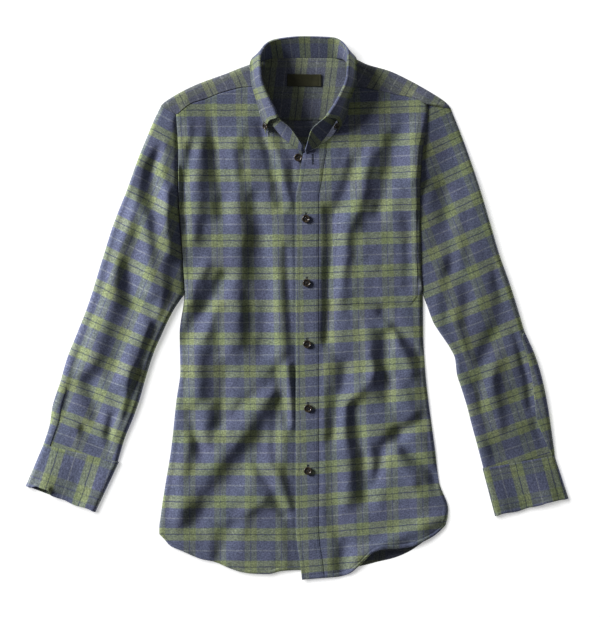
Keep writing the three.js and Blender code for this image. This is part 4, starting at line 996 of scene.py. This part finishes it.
def ring_section(place, width, height, folds):
    """One closed section: upper layer, inner edge, lower layer, outer edge."""
    edge = min(EDGE_ROLL, height / 2 + 1) / width
    flat = place("top", lerp(edge, 1 - edge, RING_TOP))
    x, y = flat[:, 0], flat[:, 1]
    inside = np.minimum(RING_TOP, 1 - RING_TOP) * 2
    folded = smooth(inside, 0, 0.3) * smooth(height, ARMHOLE_HEIGHT, SLEEVE_FULL_HEIGHT)
    crown = (height - ARMHOLE_HEIGHT) * SLEEVE_CROWN * inside
    wander = waves(x, y, SLEEVE_WANDER)
    fold = fold_height(folds, x + wander, y + wander * 0.6)
    top = np.column_stack([flat, height + crown + (fold + waves(x, y, SLEEVE_RIPPLE)) * folded])
    lift = np.sin(np.abs(RING_TURN) * math.pi / 2)
    out = edge * (1 - np.sqrt(1 - lift ** 2))
    edges = []
    for inner in (True, False):
        sign = np.sign(RING_TURN) * (-1 if inner else 1)
        upper, lower = (place(layer, 1 - out if inner else out) for layer in ("top", "bottom"))
        is_low = (RING_TURN > 0) if inner else (RING_TURN <= 0)
        at = np.where(is_low[:, None], lower, upper)
        edges.append(np.column_stack([at, height / 2 * (1 + sign * lift)]))
    flat = place("bottom", lerp(edge, 1 - edge, RING_BOTTOM))
    bottom = np.column_stack([flat, np.full(len(flat), FLOOR_GAP)])
    return np.concatenate([top, edges[0], bottom, edges[1]])


def sleeve_surface(rows, shoulder, side):
    """A sleeve of closed sections, whose first ones follow the armhole seam."""
    read = stations(rows)
    last = len(rows) - 1
    seams = {"top": seam_points(shoulder, side, True), "bottom": seam_points(shoulder, side, False)}
    start_outer, start_inner = rows[0, :2], rows[0, 2:4]
    grid = []
    for step in np.concatenate([np.linspace(0, 1, 9), np.linspace(1, last, 122)[1:]]):
        outer_x, outer_y, inner_x, inner_y, height = (float(column(step)) for column in read)
        outer, inner = np.array([outer_x, outer_y]), np.array([inner_x, inner_y])
        pull = float(fade(step / last, 0, SEAM_REACH))

        def place(layer, share):
            points, run = seams[layer]
            straight = lerp(outer, inner, share[:, None])
            to_seam = read_line(share, run, points) - lerp(start_outer, start_inner, share[:, None])
            return straight + to_seam * pull
        grid.append(ring_section(place, np.linalg.norm(outer - inner), height, SLEEVE_FOLDS))
    return np.array(grid)


def cuff_surface(corners, opened):
    """The cuff over a sleeve's end, whose mouth gapes near its outer edge."""
    from_outer, from_inner, to_outer, to_inner = np.array(corners, float)
    from_middle = (from_outer + from_inner) / 2
    reach = np.linalg.norm((to_outer + to_inner) / 2 - from_middle)
    outwards = (lerp(to_outer, to_inner, RING_TOP[:, None]) - from_middle) / reach
    inside = smooth(np.minimum(RING_TOP, 1 - RING_TOP), 0, 0.2)
    gape_share = smooth(RING_TOP, 0, 0.04) * fade(RING_TOP, 0.25, 0.36)
    grid = []
    for k in CUFF_STEPS:
        outer, inner = lerp(from_outer, to_outer, k), lerp(from_inner, to_inner, k)

        def place(_, share):
            return lerp(outer, inner, share[:, None])
        points = ring_section(place, np.linalg.norm(outer - inner), CUFF_HEIGHT, ())
        top = points[:len(RING_TOP)]
        gape = opened * smooth(k, 0.75, 1) * gape_share
        curl = 0.9 * smooth(k, 0.7, 1) * np.sin(RING_TOP * 15) * smooth(RING_TOP, 0.4, 0.6)
        top[:, :2] -= outwards * (2.6 * gape + curl)[:, None]
        wave = 3 * k * np.sin(RING_TOP * math.pi * 2 + 0.6) * inside + 1.5 * gape
        near = min(k, 1 - k) * CUFF_DEPTH
        top[:, 2] += wave - 0.5 * bell(near, CUFF_STITCH, 1.2) - 0.6 * fade(near, 0, 1.5)
        grid.append(points)
    return np.array(grid)


def pair(make, left, right):
    """The same thing for both arms."""
    return {"left": make(*left), "right": make(*right)}


def arm_pieces(name, grids, checks, ring, thickness, material, slot):
    """One cloth piece on each arm, over the solid of its name. The right one faces the other way."""
    pieces = {}
    for side in SIDES:
        patch = with_check(grids[side], checks[side], ring, side == "left")
        node = f"{name}_{side}"
        pieces[side] = cloth_piece(node + "_cloth", [patch], thickness, material, slot, [node])
    return pieces


SIDES = ("left", "right")
sleeve_grids = pair(sleeve_surface, (SLEEVE_LEFT, SHOULDER_LEFT, side_left),
                    (SLEEVE_RIGHT, SHOULDER_RIGHT, side_right))
cuff_grids = pair(cuff_surface, (CUFF_LEFT, 2.2), (CUFF_RIGHT, 0.5))
sleeves = arm_pieces("sleeve", sleeve_grids, SLEEVE_CHECKS, True, CLOTH, sleeve_cloth, "flannel_sleeve")
cuffs = arm_pieces("cuff", cuff_grids, CUFF_CHECKS, True, CUFF_CLOTH, trim_cloth, "flannel_trim")

# Collar
collar_read = stations(COLLAR)
COLLAR_LAST = len(COLLAR) - 1


def collar_point(first, step):
    return np.array([float(collar_read[first + k](step)) for k in range(3)])


def collar_station(step):
    """Seam, fold and leaf edge at a station, the rise, the side it folds to, and the roll's middle."""
    base, fold, edge = (collar_point(first, step) for first in (0, 3, 6))
    ahead, behind = collar_point(0, min(step + 0.2, COLLAR_LAST)), collar_point(0, max(step - 0.2, 0))
    out = unit(np.array([behind[1] - ahead[1], ahead[0] - behind[0], 0.0]))
    rise = unit(fold - base)
    side = unit(out - rise * out.dot(rise))
    return base, edge, rise, side, fold - rise * COLLAR_ROLL


def roll_point(station, degrees, radius):
    """A point of the roll at the collar's fold."""
    _, _, rise, side, centre = station
    turn = math.radians(degrees)
    return centre - side * radius * math.cos(turn) + rise * radius * math.sin(turn)


def stand_column(step):
    station = collar_station(step)
    top = roll_point(station, 0, STAND_ROLL)
    points = [lerp(station[0], top, k) for k in np.linspace(0, 1, 14)]
    return np.array(points + [roll_point(station, turn, STAND_ROLL) for turn in (20, 40, 60, 80, 95)])


def leaf_column(step):
    """From the fold over the roll and down to the leaf's edge, which bows near both points."""
    station = collar_station(step)
    points = [roll_point(station, turn, LEAF_ROLL) for turn in (40, 55, 70, 90, 110, 130, 150)]
    from_point = min(step - LEAF_FIRST, LEAF_LAST - step)
    pull = LEAF_BOW * float(fade(from_point, 0, 2)) * (1 if step < COLLAR_LAST / 2 else -1)
    fall = column_curve(LEAF_FALL)
    for down in np.concatenate([np.linspace(0, 0.86, 15), [0.89, 0.92, 0.95, 0.98, 1.0]]):
        station = collar_station(step + pull * math.sin(math.pi * down))
        top, edge = roll_point(station, 180, LEAF_ROLL), station[1]
        at = lerp(top, edge, down)
        at[2] = lerp(edge[2], top[2], float(fall(down)))
        points.append(at)
    return np.array(points)


def collar_check(grid, steps):
    """The check round the collar, with whole repeats between the leaf's two front corners."""
    run = run_along(grid[:, grid.shape[1] // 2])
    start, end = np.interp(COLLAR_CHECK_ENDS, steps, run)
    v = (run - start) / (end - start) * round((end - start) / REPEAT_ACROSS)
    lengths = np.cumsum(np.linalg.norm(np.diff(grid, axis=1), axis=2), axis=1)
    across = np.concatenate([np.zeros((len(grid), 1)), lengths], axis=1)
    return np.stack([across / REPEAT_ACROSS + 0.25, np.repeat(v[:, None], grid.shape[1], axis=1)], axis=-1)


stand_steps = np.linspace(0, COLLAR_LAST, 145)
leaf_steps = np.linspace(LEAF_FIRST, LEAF_LAST, 141)
stand_grid = np.array([stand_column(step) for step in stand_steps])
leaf_grid = np.array([leaf_column(step) for step in leaf_steps])
stand = cloth_piece("collar_stand_cloth", [(stand_grid, collar_check(stand_grid, stand_steps), False, True)],
                    STAND_CLOTH, collar_cloth, "flannel_collar", ["collar_stand"])
leaf = cloth_piece("collar_leaf_cloth", [(leaf_grid, collar_check(leaf_grid, leaf_steps), False, True)],
                   LEAF_CLOTH, collar_cloth, "flannel_collar", ["collar_leaf"])


# Gauntlet bands over the sleeve slits
def gauntlet_surface(sleeve, widths):
    """A band on the sleeve's upper face beside its outer edge."""
    width_at = column_curve(widths)
    start_y = widths[0, 0]
    turned = len(RING_TURN)
    shares = np.concatenate([[0, 0.03, 0.08], np.linspace(0.12, 0.88, 14), [0.92, 0.97, 1]])
    lines = []
    for section in sleeve:
        y = section[0, 1]
        if y > start_y:
            continue
        line = np.concatenate([section[-turned:], section[:36]])
        run = run_along(line)
        rim = run[np.argmax(np.abs(line[:turned + 2, 0]))]
        taper = lerp(0.86, 1, np.clip((start_y - y) / 10, 0, 1))
        lines.append(read_line(rim + 0.5 + shares * float(width_at(y)) * taper, run, line))
    grid = np.array(lines)
    normal = normals_of(grid)
    normal *= np.sign(normal[..., 2:].mean())
    rows, columns = grid.shape[:2]
    from_side = np.minimum(np.arange(columns), np.arange(columns)[::-1])[None, :]
    rounded = 0.45 * fade(from_side, 0, 3) + 0.5 * fade(np.arange(rows)[:, None], 0, 3)
    return grid + normal * (GAUNTLET_LIFT - rounded)[..., None]


gauntlet_grids = pair(gauntlet_surface, (sleeve_grids["left"], GAUNTLET_LEFT),
                      (sleeve_grids["right"], GAUNTLET_RIGHT))
gauntlet_checks = {side: shifted_check(SLEEVE_CHECKS[side]) for side in SIDES}
gauntlets = arm_pieces("sleeve_placket", gauntlet_grids, gauntlet_checks, False, BAND_CLOTH, trim_cloth,
                       "flannel_trim")


def label_surface():
    """Bare label sewn inside the neck, turned under at its ends."""
    x = np.linspace(LABEL_LEFT, LABEL_RIGHT, LABEL_COLUMNS)[None, :] * np.ones((LABEL_ROWS, 1))
    y = np.linspace(LABEL_LOW, LABEL_HIGH, LABEL_ROWS)[:, None] * np.ones((1, LABEL_COLUMNS))
    y = y + waves(x, y, LABEL_DRIFT)
    end = np.minimum(x - LABEL_LEFT, LABEL_RIGHT - x)
    z = yoke_height(x, y, 1.0) + 1.0 + waves(x, y, LABEL_WAVES) * smooth(end, 1, 6)
    z += 0.35 * fade(end, 2.2, 3.0) - 0.3 * fade(end, 0, 0.8)
    return np.stack([x, y, z], axis=-1)


label_grid = label_surface()
label = cloth_piece("neck_label_tape", [with_check(label_grid, label_check)], TAPE, label_cloth, "label",
                    ["neck_label"])


# Buttons
def seat_of(node):
    """Where a button sits: the middle of its lower face, its axis, two ways across, and its radius."""
    obj = bpy.data.objects[node]
    points = np.array([obj.matrix_world @ v.co for v in obj.data.vertices]) / MM
    middle = points.mean(axis=0)
    points = points - middle
    _, _, axes = np.linalg.svd(points, full_matrices=False)
    axis = axes[2] if axes[2][2] > 0 else -axes[2]
    side = unit(np.cross(axis, [0, 1, 0]))
    front = np.cross(axis, side)
    centre = middle + axis * (points @ axis).min()
    for way in (side, front):
        reach = points @ way
        centre = centre + way * (reach.max() + reach.min()) / 2
    return centre, axis, side, front, np.ptp(points @ side) / 2


def button_mesh(radius, spread):
    """Rings of points from the middle of the face round the rim to the back, with four holes."""
    inner = np.linspace(0.02, 0.56, FACE_RINGS)
    radial = np.concatenate([inner, BUTTON_RIM[:, 0]])
    height = np.concatenate([np.interp(inner, BUTTON_FACE[:, 0], BUTTON_FACE[:, 1]), BUTTON_RIM[:, 1]])
    around = np.linspace(0, 2 * math.pi, 96, endpoint=False)
    rings, angles = np.meshgrid(radial * radius, around, indexing="ij")
    x, y = rings * np.cos(angles), rings * np.sin(angles)
    z = height[:, None] * BUTTON_THICK * np.ones_like(angles)
    on_face = (np.arange(len(radial)) < FACE_RINGS)[:, None]
    for side_x, side_y in ((1, 1), (-1, 1), (-1, -1), (1, -1)):
        gap = np.hypot(x - side_x * spread, y - side_y * spread)
        z = z - on_face * HOLE_DEPTH * fade(gap, HOLE_RADIUS - 0.22, HOLE_RADIUS + 0.1)
    faces = quads(*rings.shape, ring=True).tolist()
    around_count, total = len(around), rings.size
    faces.append(list(range(around_count)))
    faces.append(list(range(total - around_count, total))[::-1])
    return np.stack([x, y, z], axis=-1).reshape(-1, 3), faces


def tube(points, radius, sides=8):
    """A closed round tube along a line, with blunt ends."""
    tangent = unit(np.gradient(points, axis=0))
    side = unit(np.cross(tangent, (0.31, 0.17, 0.93)))
    other = np.cross(tangent, side)
    around = np.linspace(0, 2 * math.pi, sides, endpoint=False)[None, :, None]
    ring = side[:, None] * np.cos(around) + other[:, None] * np.sin(around)
    faces = quads(len(points), sides, ring=True)[:, [0, 3, 2, 1]].tolist()
    faces.append(list(range(sides))[::-1])
    faces.append(list(range((len(points) - 1) * sides, len(points) * sides)))
    return (points[:, None] + ring * radius).reshape(-1, 3), faces


def joined(parts):
    """One mesh from several."""
    vertices, faces, start = [], [], 0
    for points, loops in parts:
        vertices.append(points)
        faces += [[k + start for k in loop] for loop in loops]
        start += len(points)
    return np.concatenate(vertices), faces


def button_threads(spread):
    """Two pairs of threads that bow over the bridges between the holes."""
    bow = np.linspace(-1, 1, 15)
    height = BUTTON_THICK * 0.56 + 0.42 - 0.95 * np.abs(bow) ** 5
    rows = [side * spread + shift for side in (1, -1) for shift in (-0.24, 0.24)]
    return joined([tube(np.column_stack([np.full_like(bow, x), bow * spread * 1.05, height]), THREAD_RADIUS)
                   for x in rows])


# Each button's node and how far its holes are turned, in degrees
BUTTON_TURNS = {"front_1": 12, "front_2": -8, "front_3": 31, "front_4": 5, "front_5": -19, "front_6": 24,
                "collar_left": 40, "collar_right": -33}
for which, degrees in BUTTON_TURNS.items():
    node = f"button_{which}"
    centre, axis, side, front, radius = seat_of(node)
    turn = math.radians(degrees)
    spin = np.array([[math.cos(turn), math.sin(turn), 0], [-math.sin(turn), math.cos(turn), 0], [0, 0, 1]])
    to_shirt = spin @ np.array([side, front, axis])
    points, loops = button_mesh(radius, radius * HOLE_SPREAD)
    mesh_piece(node + "_resin", centre + points @ to_shirt, loops, tortoise, "button", [node])
    points, loops = button_threads(radius * HOLE_SPREAD)
    mesh_piece(node + "_thread", centre + points @ to_shirt, loops, dark_thread, "button")


# Stitching: small stretched beads of thread along paths over the surfaces
def read_grid(grid, rows, columns):
    """A grid's values between its rows and columns."""
    row = np.clip(np.floor(rows).astype(int), 0, grid.shape[0] - 2)
    column = np.clip(np.floor(columns).astype(int), 0, grid.shape[1] - 2)
    down, across = (rows - row)[:, None], (columns - column)[:, None]
    upper = lerp(grid[row, column], grid[row, column + 1], across)
    return lerp(upper, lerp(grid[row + 1, column], grid[row + 1, column + 1], across), down)


# Corners of a bead: its two ends, its two sides, its top and its bottom
BEAD_FACES = np.array([
    [0, 2, 4], [2, 1, 4], [1, 3, 4], [3, 0, 4], [2, 0, 5], [1, 2, 5], [3, 1, 5], [0, 3, 5],
])


def beads(at, way, normal, length, half_width, height):
    """Stretched eight-sided beads, one for each stitch."""
    side = unit(np.cross(normal, way))
    ends, sides, tops = way * length / 2, side * half_width, normal * height
    corners = np.stack([at + ends, at - ends, at + sides, at - sides, at + tops, at - tops], axis=1)
    start = np.arange(len(at))[:, None, None] * corners.shape[1]
    return corners.reshape(-1, 3), (BEAD_FACES[None] + start).reshape(-1, 3).tolist()


def seam(grid, path, ring=False, step=STITCH_STEP, length=STITCH_LENGTH):
    """Stitches along a path of (row, column) places on a grid."""
    share = np.linspace(0, 1, 400, endpoint=False)[:, None]
    path = np.array(path, float)
    rows, columns = np.concatenate([lerp(a, b, share) for a, b in zip(path, path[1:])]).T
    points = read_grid(grid, rows, columns)
    run = run_along(points)
    stops = np.arange(step / 2, run[-1], step)
    way = unit(read_line(stops + 0.6, run, points) - read_line(stops - 0.6, run, points))
    up = read_grid(normals_of(grid, ring), np.interp(stops, run, rows), np.interp(stops, run, columns))
    up *= np.where(up[:, 2:] < 0, -1, 1)
    up = unit(up - way * (up * way).sum(axis=1, keepdims=True))
    at = read_line(stops, run, points) + up * STITCH_LIFT
    return beads(at, way, up, length, STITCH_HALF, STITCH_HEIGHT)


def sewn(name, parts, slot):
    mesh_piece(name, *joined(parts), thread, slot)


def row_at(grid, y, column=0):
    return int(np.argmin(np.abs(grid[:, column, 1] - y)))


def last_of(grid):
    """The numbers of a grid's last row and last column."""
    return grid.shape[0] - 1, grid.shape[1] - 1


# Rows from the hem up to its stitching, and columns from the side to the end of the hem's and to
# the armhole's
HEM_STITCH_ROW = 6
HEM_END_COLUMN = 4
ARMHOLE_COLUMN = 12
bottom, end = last_of(placket_grid)
outer, inner = np.searchsorted(PLACKET_COLUMNS, [STITCH_INSET, PLACKET_WIDTH - STITCH_INSET])
hem_row = bottom - HEM_STITCH_ROW
sewn("placket_stitching", [seam(placket_grid, [(0, outer), (bottom, outer)]),
                           seam(placket_grid, [(0, inner), (bottom, inner)]),
                           seam(placket_grid, [(hem_row, 1), (hem_row, end - 1)])], "flannel_trim")
bottom, end = row_at(pocket_grid, POCKET_BOTTOM + STITCH_INSET), last_of(pocket_grid)[1]
hem_row = row_at(pocket_grid, POCKET_TOP - POCKET_HEM)
sewn("pocket_stitching", [seam(pocket_grid, [(2, 5), (bottom, 5), (bottom, end - 5), (2, end - 5)]),
                          seam(pocket_grid, [(hem_row, 2), (hem_row, end - 2)])], "flannel_trim")
hems, armholes = [], []
for grid, first in ((left_grid, 1), (right_grid, 13)):
    bottom, end = last_of(grid)
    hem_row, column = bottom - HEM_STITCH_ROW, end - ARMHOLE_COLUMN
    hems.append(seam(grid, [(hem_row, first), (hem_row, end - HEM_END_COLUMN)]))
    armholes.append(seam(grid, [(2, column), (row_at(grid, UNDERARM_Y + 4, column), column)]))
sewn("hem_stitching", hems, "flannel_front")
sewn("armhole_stitching", armholes, "flannel_front")
bottom, end = last_of(yoke_left)
sewn("yoke_stitching", [seam(yoke_left, [(bottom - 3, 2), (bottom - 3, end - 1)]),
                        seam(yoke_right, [(bottom - 3, 2), (bottom - 3, end - 1)]),
                        seam(yoke_neck, [(1.4, 0), (1.4, last_of(yoke_neck)[1])])], "flannel_back")
bottom, end = len(CUFF_STEPS) - 1, len(RING_TOP) - 3
sewn("cuff_stitching", [seam(grid, [(row, 2), (row, end)], ring=True)
                        for grid in cuff_grids.values() for row in (4, bottom - 4)], "flannel_trim")
sewn("collar_stitching", [seam(leaf_grid, [(2, 9), (2, 21.5), (138, 21.5), (138, 9)])], "flannel_collar")
bands = []
for grid in gauntlet_grids.values():
    bottom, end = last_of(grid)
    bands.append(seam(grid, [(bottom - 1, 3), (1.5, 3), (1.5, end - 3), (bottom - 1, end - 3)]))
    bands.append(seam(grid, [(7, 3), (7, end - 3)]))
sewn("gauntlet_stitching", bands, "flannel_trim")
bottom, end = last_of(label_grid)
sewn("label_stitching", [seam(label_grid, [(1, column), (bottom - 1, column)], step=FINE_STEP,
                              length=FINE_LENGTH) for column in (3, end - 3)], "label")


def surface_at(grid, x, y):
    """The height of a surface under a place seen from above, and its normal there."""
    points = grid.reshape(-1, 3)
    gaps = np.hypot(points[:, 0] - x, points[:, 1] - y)
    near = np.argsort(gaps)[:4]
    weight = 1 / (gaps[near] + 0.3)
    normal = (normals_of(grid).reshape(-1, 3)[near] * weight[:, None]).sum(axis=0)
    normal *= 1 if normal[2] > 0 else -1
    return (points[near, 2] * weight).sum() / weight.sum(), unit(normal)


def on_surface(grid, flat, way):
    """A place lifted on to a surface, a flat direction laid along it, and the normal."""
    height, normal = surface_at(grid, *flat)
    way = np.append(way, 0.0)
    return np.append(flat, height), unit(way - normal * way.dot(normal)), normal


def buttonhole(name, grid, flat, degrees, length, slot):
    """Two rows of satin stitch with a bar at each end, and between them a near-black bead that paints the
    shade in the slit.
    """
    turn = math.radians(degrees)
    direction = np.array([math.cos(turn), math.sin(turn)])
    across = np.array([-direction[1], direction[0]])
    half = length / 2
    stitches = [(k, side * 0.95, across, 1.55) for side in (-1, 1) for k in np.arange(-half, half, 0.5)]
    bar = np.arange(-1.5, 1.6, 0.5)
    stitches += [(end * (half + 0.3), k, direction, 1.5) for end in (-1, 1) for k in bar]
    places = [on_surface(grid, flat + direction * along + across * out, way)
              for along, out, way, _ in stitches]
    at, ways, normals = (np.array(part) for part in zip(*places))
    lengths = np.array([size for *_, size in stitches])[:, None]
    points, loops = beads(at + np.array([0, 0, 0.12]), ways, normals, lengths, 0.3, 0.3)
    mesh_piece(name, points, loops, dark_thread, slot)
    # A near-black bead along the slit paints the shade inside it
    at, way, normal = on_surface(grid, flat, direction)
    points, loops = beads(at[None], way[None], normal[None], length, 0.32, 0.2)
    mesh_piece(name + "_slit_shade", points, loops, slit_shade_material, slot)


# The top button is undone, so its buttonhole lies open beside the others' line
HOLE_LENGTH = 13.7
COLLAR_HOLE_LENGTH = 12.0
HOLE_OFFSET = np.array([0, 1.8])
TOP_HOLE = np.array([23.6, 226.7])
for number in range(2, 7):
    flat = seat_of(f"button_front_{number}")[0][:2] + HOLE_OFFSET
    buttonhole(f"buttonhole_{number}", placket_grid, flat, 90, HOLE_LENGTH, "flannel_trim")
buttonhole("buttonhole_1", placket_grid, TOP_HOLE, 90, HOLE_LENGTH, "flannel_trim")
for side, degrees in (("left", 118), ("right", 62)):
    flat = seat_of(f"button_collar_{side}")[0][:2]
    buttonhole(f"buttonhole_collar_{side}", leaf_grid, flat, degrees, COLLAR_HOLE_LENGTH, "flannel_collar")


# Cut sizes of the cloth, measured over the surfaces and then dropped, since nothing keeps them
def sheet_of(obj, grids, ring=False):
    width = length = area = 0.0
    for grid in grids:
        closed = np.concatenate([grid, grid[:, :1]], axis=1) if ring else grid
        across = np.linalg.norm(np.diff(closed, axis=1), axis=2)
        down = np.linalg.norm(np.diff(closed, axis=0), axis=2)
        cell = np.cross(closed[1:, :-1] - closed[:-1, 1:], closed[1:, 1:] - closed[:-1, :-1])
        width += across.sum(axis=1).max()
        length = max(length, down.sum(axis=0).max())
        area += np.linalg.norm(cell, axis=2).sum() / 2


sheet_of(front_left, [left_grid])
sheet_of(front_right, [right_grid])
sheet_of(placket, [placket_grid])
sheet_of(pocket, [pocket_grid])
sheet_of(back, [back_grid])
sheet_of(yoke, [yoke_left, yoke_right, yoke_neck])
for pieces, grids in ((sleeves, sleeve_grids), (cuffs, cuff_grids)):
    for side in SIDES:
        sheet_of(pieces[side], [grids[side]], ring=True)
for side in SIDES:
    sheet_of(gauntlets[side], [gauntlet_grids[side]])
sheet_of(stand, [stand_grid])
sheet_of(leaf, [leaf_grid])
sheet_of(label, [label_grid])

# Floor, light and camera
FLOOR_HALF = 6000.0
FLOOR_Z = -0.4
CAMERA_DISTANCE = 5.0
CAMERA_X = 0.00433
FOCUS_Z = 0.012
SENSOR = 36.0
WORLD_STRENGTH = 0.09
corners = [(-1, -1), (1, -1), (1, 1), (-1, 1)]
floor = add_object("floor", [(x * FLOOR_HALF, y * FLOOR_HALF, FLOOR_Z) for x, y in corners], [(0, 1, 2, 3)],
                   paper_material())

world = bpy.data.worlds.new("studio")
bpy.context.scene.world = world
world.use_nodes = True
world.node_tree.nodes["Background"].inputs[0].default_value = WHITE
world.node_tree.nodes["Background"].inputs[1].default_value = WORLD_STRENGTH


def sun(name, strength, towards, degrees, parts, skipped=False):
    """A soft light that reaches the parts alone, or all but them."""
    data = bpy.data.lights.new(name, "SUN")
    data.energy = strength
    data.angle = math.radians(degrees)
    obj = bpy.data.objects.new(name, data)
    obj.rotation_euler = Vector(towards).to_track_quat("Z", "Y").to_euler()
    bpy.context.scene.collection.objects.link(obj)
    lit = bpy.data.collections.new(name + "_lights")
    for index, part in enumerate(parts):
        lit.objects.link(part)
        lit.collection_objects[index].light_linking.link_state = "EXCLUDE" if skipped else "INCLUDE"
    obj.light_linking.receiver_collection = lit


# The low light comes from the left and falls off across the shirt; the floor has a steeper one
LOW, STEEP = (-0.903, 0.429, 0.455), (-0.62, 0.45, 1.2)
left_arm, right_arm = ([sleeves[side], cuffs[side], gauntlets[side]] for side in SIDES)
sun("key", 4.0, LOW, 20, [floor, *left_arm, *right_arm], skipped=True)
sun("key_near", 5.5, LOW, 20, left_arm)
sun("key_far", 2.75, LOW, 20, right_arm)
sun("floor_key", 2.5, STEEP, 34, [floor])

camera_data = bpy.data.cameras.new("camera")
camera = bpy.data.objects.new("camera", camera_data)
bpy.context.scene.collection.objects.link(camera)
camera.location = (CAMERA_X, 0.0, CAMERA_DISTANCE)
camera_data.sensor_width = SENSOR
camera_data.lens = SENSOR * (CAMERA_DISTANCE - FOCUS_Z) / (PHOTO_HEIGHT * PIXEL * MM)
camera_data.clip_end = 100.0
bpy.context.scene.camera = camera
bpy.context.scene.view_settings.view_transform = "Standard"
